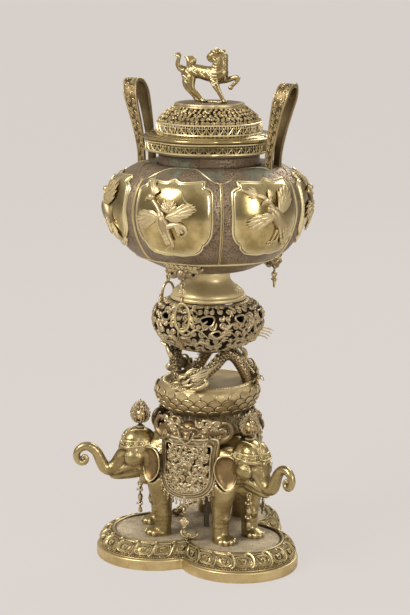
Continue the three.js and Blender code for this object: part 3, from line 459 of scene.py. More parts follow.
def perforated(skin, nearest, around, upward, depth, thick):
    """A wall on a turned surface with the oval holes that nearest(x, y) gives.

    nearest returns the middle (x, y) of the hole next to a spot and its two half widths,
    and depth is how far the wall's face lies under the surface.
    """
    part = bmesh.new()
    bmesh.ops.create_grid(part, x_segments=around, y_segments=upward, size=1)
    for point in part.verts:
        x = (point.co.x + 1) / 2 * skin.length
        y = (point.co.y + 1) / 2 * skin.height
        point.co = (x, y, 0)

    def inside(spot):
        x, y, wide, high = nearest(spot.x, spot.y)
        return math.hypot((spot.x - x) / wide, (spot.y - y) / high)

    gone = [face for face in part.faces if inside(face.calc_center_median()) < 1]
    bmesh.ops.delete(part, geom=gone, context="FACES")
    for point in part.verts:
        share = inside(point.co)
        if point.is_boundary and 0.2 < share < 2 and 0 < point.co.y < skin.height:
            x, y, wide, high = nearest(point.co.x, point.co.y)
            point.co.x = x + (point.co.x - x) / share
            point.co.y = y + (point.co.y - y) / share
    inner = bmesh.ops.extrude_face_region(part, geom=part.faces, use_keep_orig=True)["geom"]
    for point in inner:
        if isinstance(point, bmesh.types.BMVert):
            point.co.z = -thick
    for point in part.verts:
        point.co = skin(point.co.x, point.co.y, point.co.z - depth)
    bmesh.ops.remove_doubles(part, verts=part.verts, dist=1e-3)
    bmesh.ops.recalc_face_normals(part, faces=part.faces)
    return part


def fused(shape, voxel, soften=3):
    """One skin round all the overlapping bars and balls of a shape."""
    bmesh.ops.remove_doubles(shape, verts=shape.verts, dist=1e-3)
    bmesh.ops.recalc_face_normals(shape, faces=shape.faces)
    mesh = bpy.data.meshes.new("blank")
    shape.to_mesh(mesh)
    shape.free()
    thing = bpy.data.objects.new("blank", mesh)
    bpy.context.scene.collection.objects.link(thing)
    skin = thing.modifiers.new("skin", "REMESH")
    skin.mode = "VOXEL"
    skin.voxel_size = voxel
    smooth = thing.modifiers.new("smooth", "SMOOTH")
    smooth.factor = 0.5
    smooth.iterations = soften
    sight = bpy.context.evaluated_depsgraph_get()
    cast = bmesh.new()
    cast.from_mesh(thing.evaluated_get(sight).to_mesh())
    bpy.data.objects.remove(thing)
    bpy.data.meshes.remove(mesh)
    return cast


def carve(shape, depth):
    """Moves each point of a shape along its normal by depth(point)."""
    shape.normal_update()
    moves = [point.normal * depth(point.co) for point in shape.verts]
    for point, move in zip(shape.verts, moves):
        point.co += move


def piece(name, shape, finish, body="burner", nodes=(), turn=0.0, sharp=50):
    """Finishes a shape as an object that rides on a body, turned about the burner's axis."""
    bmesh.ops.remove_doubles(shape, verts=shape.verts, dist=1e-3)
    mesh = bpy.data.meshes.new(name)
    shape.to_mesh(mesh)
    mesh.transform(Matrix.Rotation(math.radians(turn), 4, "Z") @ Matrix.Scale(MM, 4))
    mesh.shade_smooth()
    mesh.set_sharp_from_angle(angle=math.radians(sharp))
    material, slot = finish
    mesh.materials.append(material)
    thing = bpy.data.objects.new(name, mesh)
    bpy.context.scene.collection.objects.link(thing)
    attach(thing, body)
    if nodes:
        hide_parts(*nodes)
    return thing


# Materials
def colour(code):
    """A linear colour from a hexadecimal one."""
    parts = [int(code[i : i + 2], 16) / 255 for i in (0, 2, 4)]
    linear = [p / 12.92 if p <= 0.04045 else ((p + 0.055) / 1.055) ** 2.4 for p in parts]
    return (*linear, 1.0)


def new_group(name, inputs, outputs):
    """A shader node group with number inputs and its outputs by name and kind."""
    group = bpy.data.node_groups.new(name, "ShaderNodeTree")
    for label, value in inputs.items():
        socket = group.interface.new_socket(label, in_out="INPUT", socket_type="NodeSocketFloat")
        socket.default_value = value
    for label in outputs:
        group.interface.new_socket(label, in_out="OUTPUT", socket_type="NodeSocketFloat")
    start = group.nodes.new("NodeGroupInput")
    end = group.nodes.new("NodeGroupOutput")
    return group, start, end


def add(tree, kind, links=None, **values):
    """Adds a node; links maps its input names to output sockets or plain values."""
    node = tree.nodes.new(kind)
    for label, value in values.items():
        setattr(node, label, value)
    for label, source in (links or {}).items():
        socket = node.inputs[label]
        if isinstance(source, bpy.types.NodeSocket):
            tree.links.new(source, socket)
        else:
            socket.default_value = source
    return node


def ramp(tree, source, low, high):
    """A mask that rises from 0 to 1 as its source goes from low to high."""
    node = add(
        tree,
        "ShaderNodeMapRange",
        {"Value": source, "From Min": low, "From Max": high},
        interpolation_type="SMOOTHSTEP",
    )
    return node.outputs["Result"]


def maths(tree, operation, a, b=0.0):
    """The result of a sum on two sockets or numbers."""
    return add(tree, "ShaderNodeMath", {0: a, 1: b}, operation=operation).outputs[0]


def recess_group():
    """Masks for the hollows of a casting, darkened for dirt and as painted shade, and for its edges, lightened for
    rubbed wear and as painted highlight.
    """
    group, start, end = new_group(
        "Hollows and edges", {"Reach": 0.006, "Rub and highlight": 0.07}, ["Hollow", "Edge"]
    )
    shade = add(
        group,
        "ShaderNodeAmbientOcclusion",
        {"Distance": start.outputs["Reach"]},
        only_local=True,
        samples=8,
    )
    # Painted shade: ambient occlusion picks out the hollows, which are darkened partly for dirt and partly as painted
    # shade.
    hollow = ramp(group, shade.outputs["AO"], 0.93, 0.48)
    # Painted highlight: pointiness picks out the convex edges, which are lightened partly for rubbed wear and partly
    # as painted highlight.
    geometry = add(group, "ShaderNodeNewGeometry")
    above = maths(group, "SUBTRACT", geometry.outputs["Pointiness"], 0.5)
    rubbed_and_highlit = maths(group, "DIVIDE", above, start.outputs["Rub and highlight"])
    edge = ramp(group, rubbed_and_highlit, 0.1, 1.0)
    group.links.new(hollow, end.inputs["Hollow"])
    group.links.new(edge, end.inputs["Edge"])
    return group


def mottle_group():
    """Patches, fine grain and downward streaks that the skin of old bronze has."""
    group, start, end = new_group("Old bronze skin", {"Size": 1.0}, ["Patch", "Grain", "Streak"])
    spot = add(group, "ShaderNodeTexCoord").outputs["Object"]
    patch_scale = maths(group, "DIVIDE", 26.0, start.outputs["Size"])
    grain_scale = maths(group, "DIVIDE", 520.0, start.outputs["Size"])
    patch = add(
        group,
        "ShaderNodeTexNoise",
        {"Vector": spot, "Scale": patch_scale, "Detail": 5.0, "Roughness": 0.62},
    )
    grain = add(
        group,
        "ShaderNodeTexNoise",
        {"Vector": spot, "Scale": grain_scale, "Detail": 3.0, "Roughness": 0.6},
    )
    drawn = add(group, "ShaderNodeMapping", {"Vector": spot, "Scale": (1.0, 1.0, 0.12)})
    streak = add(
        group,
        "ShaderNodeTexNoise",
        {"Vector": drawn.outputs["Vector"], "Scale": 130.0, "Detail": 4.0, "Roughness": 0.7},
    )
    group.links.new(ramp(group, patch.outputs["Fac"], 0.34, 0.66), end.inputs["Patch"])
    group.links.new(grain.outputs["Fac"], end.inputs["Grain"])
    group.links.new(ramp(group, streak.outputs["Fac"], 0.38, 0.68), end.inputs["Streak"])
    return group


def punch_group():
    """The field of small punched circles that mats the ground of the bowl."""
    group, start, end = new_group("Ring matting", {"Size": 1.0}, ["Height", "Dark"])
    spot = add(group, "ShaderNodeTexCoord").outputs["Object"]
    scale = maths(group, "DIVIDE", 620.0, start.outputs["Size"])
    cells = add(group, "ShaderNodeTexVoronoi", {"Vector": spot, "Scale": scale, "Randomness": 0.8})
    far = cells.outputs["Distance"]
    rim = maths(group, "ABSOLUTE", maths(group, "SUBTRACT", far, 0.3))
    ring = ramp(group, rim, 0.2, 0.03)
    group.links.new(ring, end.inputs["Height"])
    group.links.new(ramp(group, far, 0.4, 0.08), end.inputs["Dark"])
    return group


HOLLOWS = recess_group()
SKIN = mottle_group()
MATTING = punch_group()


def mixed(tree, share, first, second):
    """A colour between two others."""
    node = tree.nodes.new("ShaderNodeMix")
    node.data_type = "RGBA"
    node.clamp_factor = True
    for socket, source in ((node.inputs[0], share), (node.inputs[6], first), (node.inputs[7], second)):
        if isinstance(source, bpy.types.NodeSocket):
            tree.links.new(source, socket)
        else:
            socket.default_value = source
    return node.outputs[2]


def metal(name, field, patch, hollow, edge, rough, grain=0.15, reach=0.006, **extra):
    """A metal with its own colours for field, patches, hollows (dirt and painted shade) and edges (rubbed wear and
    painted highlight).

    extra may hold matting, the depth of punched circles; verdigris, the heights between which
    brown streaks and green patches come in; dirt, how much of the hollows is dull; and sheen,
    how metallic the bare skin is.
    """
    material = bpy.data.materials.new(name)
    material.use_nodes = True
    tree = material.node_tree
    shader = tree.nodes["Principled BSDF"]
    marks = add(tree, "ShaderNodeGroup", node_tree=HOLLOWS)
    marks.inputs["Reach"].default_value = reach
    skin = add(tree, "ShaderNodeGroup", node_tree=SKIN)
    shade = mixed(tree, skin.outputs["Patch"], colour(field), colour(patch))
    fleck = ramp(tree, skin.outputs["Grain"], 0.5, 0.75)
    shade = mixed(tree, maths(tree, "MULTIPLY", fleck, grain * 2), shade, colour(hollow))
    height = maths(tree, "MULTIPLY", skin.outputs["Grain"], grain)
    dark = marks.outputs["Hollow"]
    if "matting" in extra:
        punch = add(tree, "ShaderNodeGroup", node_tree=MATTING)
        punch.inputs["Size"].default_value = extra.get("punch", 1.0)
        pits = maths(tree, "MULTIPLY", punch.outputs["Dark"], extra["matting"])
        shade = mixed(tree, pits, shade, colour(hollow))
        rims = maths(tree, "MULTIPLY", punch.outputs["Height"], extra["matting"])
        height = maths(tree, "ADD", height, rims)
    if "verdigris" in extra:
        low, high = extra["verdigris"]
        spot = add(tree, "ShaderNodeTexCoord").outputs["Object"]
        split = add(tree, "ShaderNodeSeparateXYZ", {"Vector": spot})
        level = ramp(tree, split.outputs["Z"], low, high)
        runs = maths(tree, "MULTIPLY", skin.outputs["Streak"], level)
        shade = mixed(tree, maths(tree, "MULTIPLY", runs, 0.75), shade, colour("8a745a"))
        green = maths(tree, "MULTIPLY", ramp(tree, skin.outputs["Patch"], 0.55, 0.95), level)
        shade = mixed(tree, maths(tree, "MULTIPLY", green, 0.7), shade, colour("87968a"))
    # Painted shade: occluded hollows take the hollow colour, partly dirt and partly painted shade; the same colour
    # also tints grain flecks and punched pits.
    shade = mixed(tree, dark, shade, colour(hollow))
    # Painted highlight: convex edges take the edge colour, partly rubbed wear and partly painted highlight.
    shade = mixed(tree, marks.outputs["Edge"], shade, colour(edge))
    tree.links.new(shade, shader.inputs["Base Color"])
    duller = maths(tree, "MULTIPLY", dark, 0.35)
    uneven = maths(tree, "MULTIPLY", skin.outputs["Patch"], 0.1)
    rougher = maths(tree, "ADD", maths(tree, "ADD", duller, uneven), rough - 0.04)
    tree.links.new(rougher, shader.inputs["Roughness"])
    dirt = maths(tree, "MULTIPLY", dark, extra.get("dirt", 0.5))
    tree.links.new(maths(tree, "SUBTRACT", extra.get("sheen", 1.0), dirt), shader.inputs["Metallic"])
    bump = add(
        tree,
        "ShaderNodeBump",
        {"Height": height, "Strength": 0.6, "Distance": extra.get("relief", 0.0004)},
    )
    tree.links.new(bump.outputs["Normal"], shader.inputs["Normal"])
    return material


# In each metal below, the fourth colour goes into hollows, partly dirt and partly painted shade, and the fifth onto
# convex edges, partly rubbed wear and partly painted highlight; reach sets how far the painted shade spreads.
SATIN = (
    metal("Satin brass", "b09e72", "8c7a50", "2e2213", "e0d2a6", 0.34, 0.18, reach=0.013, dirt=0.6),
    "aged_brass",
)
POLISHED = (
    metal("Polished brass", "c2ae7a", "8f7d50", "5a4724", "efe2b4", 0.17, 0.04, relief=0.0002),
    "polished_brass",
)
CAST = (
    metal("Cast bronze", "8f7c5e", "75644a", "1f1710", "cbb992", 0.42, 0.25, reach=0.005, dirt=0.8),
    "dark_bronze",
)
GILT = (
    metal("Worn gilt bronze", "988559", "7c6b48", "271c10", "d2c292", 0.38, 0.24, reach=0.006),
    "aged_brass",
)
GROUND = (
    metal(
        "Matted bowl ground",
        "95846c",
        "7c6a55",
        "2e241b",
        "c9b896",
        0.46,
        0.3,
        matting=0.95,
        punch=2.1,
        relief=0.0012,
        sheen=0.8,
        verdigris=(0.552, 0.58),
    ),
    "brown_patina",
)
STIPPLED = (
    metal(
        "Stippled floor",
        "cfbf9e",
        "a3937a",
        "42372b",
        "d8caa8",
        0.66,
        0.3,
        matting=0.75,
        punch=2.0,
        dirt=0.3,
        sheen=0.5,
    ),
    "brown_patina",
)
BORDER = (
    metal("Chased border", "7e6d4c", "67593d", "20170f", "b5a47a", 0.38, 0.22, reach=0.006, dirt=0.7),
    "aged_brass",
)
LEAFY = (
    metal("Pale petal brass", "cfbc90", "b6a278", "433520", "e6d6ac", 0.4, 0.14, reach=0.005),
    "aged_brass",
)
RELIEF = (
    metal("Brown relief bronze", "8b7656", "6f5c40", "1c130b", "ccbb92", 0.4, 0.2, reach=0.008, dirt=0.8),
    "dark_bronze",
)
SCROLLED = (
    metal("Brown openwork", "705f45", "584831", "120c07", "b3a280", 0.46, 0.24, reach=0.009, dirt=0.8),
    "dark_bronze",
)
MASKED = (
    metal("Grey brown mask", "a49274", "877558", "2a2119", "d2c298", 0.4, 0.2, reach=0.004),
    "dark_bronze",
)
COPPERY = (
    metal("Brown brass bead", "bfa274", "a28558", "4e3820", "ecd6a4", 0.26, 0.06),
    "aged_brass",
)
BRIGHT = (
    metal("Bright satin brass", "cdb988", "b39d6c", "6e5833", "f0e2b6", 0.38, 0.08, sheen=0.82),
    "polished_brass",
)
# Painted light: a paler copy of the bright satin brass for the waist, lightened to stand in for light where it would
# reflect the dark floor.
LIT_SATIN = (
    metal("Satin brass with painted light", "decc9c", "c8b482", "6e5833", "f4e8c0", 0.42, 0.06, sheen=0.64),
    "polished_brass",
)
EARED = (
    metal("Brown ear", "927b55", "7c6645", "3a2a18", "dccb9c", 0.42, 0.14, reach=0.012),
    "polished_brass",
)
CLOTH = (
    metal("Cloth border", "94836a", "7f6d54", "4a3b28", "cdbc94", 0.44, 0.2, reach=0.004, dirt=0.6),
    "dark_bronze",
)
STRAP = (
    metal("Worn strap", "6c5c40", "574830", "261c13", "b09d73", 0.42, 0.22, reach=0.006, dirt=0.7),
    "aged_brass",
)
# Painted shade: a near-black fill for the walls and plates seen through openwork, standing in for the shade inside.
DARK_SHADE_FILL = (
    metal("Painted shade fill", "2e261d", "241d16", "0f0b08", "443a2e", 0.6, 0.2, dirt=0.8),
    "dark_bronze",
)
IRON = (
    metal("Hidden iron", "4c463e", "3e3932", "1e1a16", "6e675c", 0.6, 0.2),
    "iron_hardware",
)


# Plinth
def circle_reach(angle):
    """How far out one circle of the trefoil lies at an angle from its centre."""
    aside = LOBE_CENTRE * math.sin(angle)
    return LOBE_CENTRE * math.cos(angle) + math.sqrt(LOBE_RADIUS**2 - aside**2)


def trefoil_reach(angle):
    """How far out the plinth's edge lies, where its three circles blend."""
    third = TAU / 3
    turn = (angle - math.pi / 6) % third - third / 2
    near = circle_reach(turn)
    far = circle_reach(third - abs(turn))
    share = min(max(0.5 + (near - far) / (2 * LOBE_BLEND), 0), 1)
    return far + (near - far) * share + LOBE_BLEND * share * (1 - share)


def on_trefoil(point, angle):
    """Moves a turned point out so that it keeps its distance from the plinth's edge."""
    radius = math.hypot(point.x, point.y)
    if radius < LOBE_CENTRE / 2:
        return point
    reach = trefoil_reach(angle) - LOBE_RADIUS + radius
    return Vector((reach * math.cos(angle), reach * math.sin(angle), point.z))


BORDER_LINE = [
    (LOBE_RADIUS - 5, RIM_HEIGHT + 0.2),
    (LOBE_RADIUS - 4.6, RIM_HEIGHT + 4),
    (LOBE_RADIUS - 6, RIM_HEIGHT + 10),
    (LOBE_RADIUS - 9.6, RIM_HEIGHT + 15.4),
    (LOBE_RADIUS - 14.6, LIP_TOP - 4.6),
    (LOBE_RADIUS - 20, LIP_TOP - 3),
]


def border_skin():
    """A place(along, up, out) on the plinth's sloping border, and its length."""
    rows = []
    run = 0.0
    last = None
    for i in range(721):
        angle = TAU * i / 720
        spot = on_trefoil(Vector((73 * math.cos(angle), 73 * math.sin(angle), 0)), angle)
        if last:
            run += (spot - last).length
        rows.append((run, angle))
        last = spot
    keys = [row[0] for row in rows]
    line = []
    length = 0.0
    for i, spot in enumerate(BORDER_LINE):
        if i:
            length += math.dist(spot, BORDER_LINE[i - 1])
        line.append((length, *spot))
    read = reader(line)

    def place(along, up, out=0.0):
        i = min(max(bisect.bisect_left(keys, along % run), 1), 720)
        share = (along % run - keys[i - 1]) / (keys[i] - keys[i - 1])
        angle = rows[i - 1][1] + (rows[i][1] - rows[i - 1][1]) * share
        here = read(up * length)
        near = read(up * length + 1)
        before = read(up * length - 1)
        slope = Vector((near[1] - before[1], near[2] - before[2])).normalized()
        radius = here[1] + out * slope.y
        spot = Vector((radius * math.cos(angle), radius * math.sin(angle), here[2] - out * slope.x))
        return on_trefoil(spot, angle)

    place.length = run
    place.width = length
    return place


def make_plinth():
    body_line = [
        (0, FLOOR_Z - 6),
        (LOBE_RADIUS - 30, FLOOR_Z - 6),
        (LOBE_RADIUS - 9, RIM_HEIGHT),
        (LOBE_RADIUS - 6, 9),
        (LOBE_RADIUS - 6, 0.2),
        (LOBE_RADIUS - 1.4, 0.2),
        (LOBE_RADIUS, 1.4),
        (LOBE_RADIUS, RIM_HEIGHT - 1.4),
        (LOBE_RADIUS - 1.4, RIM_HEIGHT),
        *BORDER_LINE,
        (LOBE_RADIUS - 21, LIP_TOP - 0.9),
        (LOBE_RADIUS - 23, LIP_TOP),
        (LOBE_RADIUS - 25.6, LIP_TOP - 0.8),
        (LOBE_RADIUS - 26.4, FLOOR_Z + 0.6),
        (LOBE_RADIUS - 27, FLOOR_Z),
        (LOBE_RADIUS - 34, FLOOR_Z),
    ]
    shell = spun(body_line, steps=360, closed=False, place=on_trefoil)
    piece("plinth_body", shell, BORDER, nodes=["plinth"])
    level = FLOOR_Z + 0.25
    floor_line = [(LOBE_RADIUS - 26.2, FLOOR_Z - 0.1), (LOBE_RADIUS - 36, level), (30, level), (0, level)]
    floor = spun(floor_line, steps=180, closed=False, place=on_trefoil)
    piece("plinth_floor", floor, STIPPLED)
    rim_line = [
        (LOBE_RADIUS - 5.8, RIM_HEIGHT + 1.2),
        (LOBE_RADIUS - 4.6, RIM_HEIGHT + 0.9),
        (LOBE_RADIUS - 1, RIM_HEIGHT + 0.35),
        (LOBE_RADIUS + 0.3, RIM_HEIGHT - 1),
        (LOBE_RADIUS + 0.4, 1.6),
        (LOBE_RADIUS - 0.6, 0.1),
        (LOBE_RADIUS - 3, 0.1),
    ]
    rim = spun(rounded(rim_line, 1.2), steps=360, closed=False, place=on_trefoil)
    piece("plinth_rim", rim, BRIGHT)
    make_border()


def make_border():
    """Curled straps over the sloping border, with a cartouche of cloud scrolls between each two."""
    skin = border_skin()
    count = 33
    pitch = skin.length / count
    width = skin.width
    shape = bmesh.new()

    def place(along, up, out=0.0):
        return skin(along, up / width, out)

    def swollen(start):
        def spot(along, up, out=0.0):
            x = (along - start) / pitch * 2
            y = up / width * 2 - 1
            return place(along, up, out + 1.9 * max(1 - x * x, 0) * max(1 - y * y, 0))

        return spot

    for i in range(count):
        start = i * pitch
        strap = [
            (start - 5.4, width - 3.0, 0.9),
            (start - 4.4, width + 0.6, 1.6),
            (start - 1.0, width + 1.4, 2.1),
            (start + 2.2, width - 2.4, 2.3),
            (start + 3.4, width - 8.4, 2.3),
            (start + 3.2, width - 15, 2.1),
            (start + 1.6, width - 20, 1.7),
            (start - 1.4, width - 22.6, 1.4),
            (start - 3.6, width - 20.8, 0.9),
        ]
        stroke(shape, strap, place, rise=1.35, steps=3, sides=8)
        middle = start + pitch / 2 + 2
        cell = swollen(middle)
        half = pitch / 2 - 2.6
        for share, line in ((1.0, 0.95), (0.76, 0.6)):
            oval = []
            for k in range(25):
                turn = TAU * k / 24
                x = math.copysign(abs(math.cos(turn)) ** 0.6, math.cos(turn)) * half
                y = math.copysign(abs(math.sin(turn)) ** 0.8, math.sin(turn)) * 7.4
                oval.append((middle + x * share, 15 + y * share, line))
            stroke(shape, oval, cell, rise=1.6)
        for hand in (1, -1):
            scroll = curl(middle - hand * 0.6, 11.6, math.pi / 2 + hand * 1.0, 14, 1.15, -hand, 1.0)
            stroke(shape, scroll, cell, rise=1.5)
            leaf = curl(middle + hand * 4.8, 18.6, -math.pi / 2 - hand * 0.3, 8, 0.8, -hand, 0.8, 8)
            stroke(shape, leaf, cell, rise=1.4)
            foot = curl(middle + hand * 1.2, 4.4, math.pi / 2 - hand * 1.2, 9, 0.9, hand, 0.8, 8)
            stroke(shape, foot, place, rise=1.4)
    for offset, line in ((width - 1.0, 1.0), (1.2, 0.8)):
        band = [(skin.length * k / 360, offset, line) for k in range(361)]
        stroke(shape, band, place, rise=1.2)
    grains = int(skin.length / 2.6)
    for k in range(grains):
        bead(shape, place(skin.length * k / grains, 3.4 + 1.1 * (k % 2), 0.2), 0.95)
    piece("plinth_border_scrolls", shape, BORDER)
    make_brackets()


def make_brackets():
    """A scroll bracket with a disc on the lip, in each notch between two lobes."""
    shape = bmesh.new()
    reach = trefoil_reach(math.radians(270)) - 24
    low = FLOOR_Z
    for side in (1, -1):
        scroll = [
            (reach - 4, side * 1.5, low + 3, 1.8),
            (reach - 3, side * 7, low + 4, 2.2),
            (reach - 4, side * 12, low + 8, 2),
            (reach - 7, side * 12, low + 12, 1.6),
            (reach - 8, side * 8.4, low + 11.4, 1.2),
        ]
        limb(shape, scroll, sides=10)
    ball(shape, (reach - 4, 0, low + 6), (2.4, 4.6, 4.6), sides=16)
    foot = [(reach - 12, 0, low + 1, 2.6), (reach - 2, 0, low + 3.4, 2.8), (reach + 6, 0, low + 3.4, 2.2)]
    limb(shape, foot, sides=10, up=(0, 0, 1), flat=0.6)
    rosette(shape, (reach - 1.4, 0, low + 6.4), (1, 0, 0.3), 3.6)
    for name, turn in CLOTHS.items():
        piece(f"plinth_bracket_{name}", shape.copy(), BORDER, turn=turn)


# Elephants, drawn looking along +X
EYE_RADIUS = 3.2
WIRE = 1.3
CHEST_EYE = Vector((HEAD_OUT - 3, 0, HEAD_Z - 54))
CLOTH_EYE = Vector((CLOTH_FOOT_RADIUS + CLOTH_THICK / 2, 0, CLOTH_FOOT_Z - 12))
JEWEL_OUT = HEAD_OUT - 3
JEWEL_FOOT_Z = HEAD_Z + HEAD_RADIUS - 1


def cloth_radius(z):
    """The inner radius of a saddle cloth at a height."""
    share = (z - (CLOTH_FOOT_Z - 6)) / (BACK_Z + 4 - (CLOTH_FOOT_Z - 6))
    return CLOTH_FOOT_RADIUS + (CLOTH_TOP_RADIUS - CLOTH_FOOT_RADIUS) * share


def cloth_foot(y):
    """How low a saddle cloth reaches at a distance from its middle."""
    share = min(abs(y) / (CLOTH_WIDTH / 2), 1)
    return CLOTH_FOOT_Z + 26 * share**2.6


def clear_of_cloths(shape):
    """Keeps an elephant inside its third of the circle and behind the saddle cloths."""
    for point in shape.verts:
        x, y, z = point.co
        for side in (1, -1):
            near = Matrix.Rotation(-side * math.pi / 3, 3, "Z") @ point.co
            if near.x < 20 or abs(near.y) > CLOTH_WIDTH / 2 + 1.5 or z < cloth_foot(near.y) - 2:
                continue
            limit = cloth_radius(z) - 1
            radius = math.hypot(x, y)
            if radius > limit:
                point.co.x *= limit / radius
                point.co.y *= limit / radius
        x = max(point.co.x, 0.3)
        reach = math.tan(math.pi / 3) * x
        point.co.x = x
        point.co.y = min(max(point.co.y, -reach), reach)


def behind_ears(shape, inner, length=4):
    """Presses flesh back behind the ears, from inner on over a length outwards."""
    for side in (1, -1):
        turn = Matrix.Rotation(side * math.radians(EAR_TURN), 3, "Z")
        back = turn.transposed()
        middle = Vector((EAR_OUT, side * EAR_SIDE, EAR_Z))
        for point in shape.verts:
            spot = back @ (point.co - middle)
            across = side * spot.y
            span = math.hypot(across / (EAR_WIDTH / 2 + 5), spot.z / (EAR_HEIGHT / 2 + 5))
            limit = -6.5 if span < 0.8 else -6.5 + (span - 0.8) * 60
            if span > 1 or across < inner or spot.x < limit:
                continue
            share = min((across - inner) / length, 1)
            ease = share * share * (3 - 2 * share)
            spot.x += (limit - spot.x) * ease
            point.co = middle + turn @ spot


def make_elephant_body():
    shape = bmesh.new()
    middle = (BACK_Z + BELLY_Z) / 2
    barrel = [(2, 0, middle, 46), (50, 0, middle + 1, 46), (72, 0, middle + 3, 40), (88, 0, middle + 6, 32)]
    limb(shape, barrel, sides=32, up=(0, 0, 1))
    for side in (1, -1):
        leg = [
            (LEG_OUT + 2, side * 20, 146, 24),
            (LEG_OUT + 3, side * 24, 118, 20),
            (LEG_OUT + 1.5, side * 26.5, 98, 16),
            (LEG_OUT, side * 27, 80, 13.4),
            (LEG_OUT - 1, side * 27, 66, 12.4),
            (LEG_OUT - 1, side * 27, 53, 11.8),
            (LEG_OUT, side * 27, FLOOR_Z + 10, 12.6),
            (LEG_OUT + 2, side * 27, FLOOR_Z + 3, 14),
        ]
        limb(shape, leg, sides=24, up=(1, 0, 0))
        ball(shape, (LEG_OUT + 6, side * 27, FLOOR_Z + 4.5), (17.5, 14.2, 8.5))
        for k in range(5):
            turn = math.radians(-64 + 32 * k)
            spot = (LEG_OUT + 8 + 13 * math.cos(turn), side * 27 + 11.6 * math.sin(turn), FLOOR_Z + 4)
            ball(shape, spot, (4.8, 3.9, 5.4), sides=12)
        ball(shape, (LEG_OUT + 11, side * 26, 74), (4.5, 7, 8))
    ball(shape, (90, 0, 128), (12, 20, 24))
    cast = fused(shape, 1.5, 2)

    def skin(point):
        x, y, z = point
        depth = 0.35 * noise.noise(Vector((x * 0.35, y * 0.35, z * 0.5)))
        if z < 100:
            crease = math.sin(z * 0.95 + 2.0 * noise.noise(Vector((x, y, z)) * 0.06))
            depth += 0.32 * max(crease, 0) ** 2 * (1 - abs(z - 66) / 40 if abs(z - 66) < 40 else 0)
        if x > 66 and z > 120:
            fold = math.atan2(y, z - 140)
            depth += 0.5 * math.sin(fold * 15 + 0.04 * z)
        return depth

    carve(cast, skin)
    behind_ears(cast, -18, 8)
    clear_of_cloths(cast)
    for point in cast.verts:
        point.co.z = min(max(point.co.z, FLOOR_Z + 0.3), BACK_Z)
    trim = bmesh.new()
    look = seen_from(cast)
    for side in (1, -1):
        for k in range(5):
            turn = math.radians(-64 + 32 * k)
            out = Vector((math.cos(turn), 0.92 * math.sin(turn), 0.1))
            spot, normal = look((LEG_OUT + 8, side * 27, FLOOR_Z + 3.5), out)
            if spot:
                facing = Vector(out).to_track_quat("X", "Z").to_matrix().to_4x4()
                ball(trim, spot, (1.3, 2.7, 2.8), facing, sides=12)
    collar = []
    for k in range(25):
        turn = -2.3 + 4.6 * k / 24
        spot, normal = look((80, 0, 148), (0.22, math.sin(turn), math.cos(turn)))
        if spot:
            collar.append((*(spot + normal * 0.3), 1.7))
    if len(collar) > 3:
        sweep(trim, tipped(collar), sides=8)
    for name, turn in ELEPHANTS.items():
        piece(
            f"elephant_body_{name}_cast",
            cast.copy(),
            SATIN,
            nodes=[f"elephant_body_{name}"],
            turn=turn,
        )
        piece(f"elephant_toenails_{name}", trim.copy(), SATIN, turn=turn)


def trunk_path():
    return [
        (HEAD_OUT + 8, 0, HEAD_Z - 7, 18),
        (HEAD_OUT + 21, 0, HEAD_Z - 17, 14),
        (HEAD_OUT + 31, 0, HEAD_Z - 28, 11.4),
        (HEAD_OUT + 41, 0, HEAD_Z - 34, 9.8),
        (HEAD_OUT + 49, 0, HEAD_Z - 31, 9),
        (HEAD_OUT + 54.5, 0, HEAD_Z - 21, 8.4),
        (HEAD_OUT + 60, 0, HEAD_Z - 9, 7.6),
        (HEAD_OUT + 69, 0, HEAD_Z - 0.5, 6.9),
        (HEAD_OUT + 79.5, 0, HEAD_Z + 0.8, 6.2),
        (HEAD_OUT + 87.5, 0, HEAD_Z - 5, 5.6),
        (HEAD_OUT + 90, 0, HEAD_Z - 14, 5.1),
        (HEAD_OUT + 86, 0, HEAD_Z - 22, 4.7),
        (HEAD_OUT + 79, 0, HEAD_Z - 23.4, 4.2),
        (HEAD_OUT + 75, 0, HEAD_Z - 18.4, 3.7),
        (HEAD_OUT + 77.6, 0, HEAD_Z - 13.4, 3.1),
        (HEAD_OUT + 81, 0, HEAD_Z - 14.6, 2.4),
    ]


def ear_skin(side):
    """A place(across, up, out) on an ear: cupped towards the face, with a rolled back edge."""
    turn = Matrix.Rotation(side * math.radians(EAR_TURN), 4, "Z")

    def place(across, up, out):
        share = min(math.hypot(across / 17, up / 26), 1.1)
        cup = 6.5 * share**2 - 3.6
        fold = 0.55 * math.sin(math.atan2(up, across + 14) * 15) * share * (1 - share) * 4 if share < 1 else 0
        sunk = 0.4 * max(-4 - across, 0)
        local = Vector((out + cup + fold - sunk, side * across, up))
        return Vector((EAR_OUT, side * EAR_SIDE, EAR_Z)) + turn @ local

    return place


def ear_outline():
    side = [
        (0, 26.5),
        (8, 25.5),
        (14.5, 20),
        (18, 10),
        (17.5, -2),
        (13.5, -13),
        (6.5, -22),
        (-1, -26.5),
        (-8, -23),
        (-13, -14),
        (-16.5, -3),
        (-16, 10),
        (-12, 20),
        (-6, 25),
    ]
    return [tuple(p) for p in eased([*side, side[0]], 3)[:-1]]


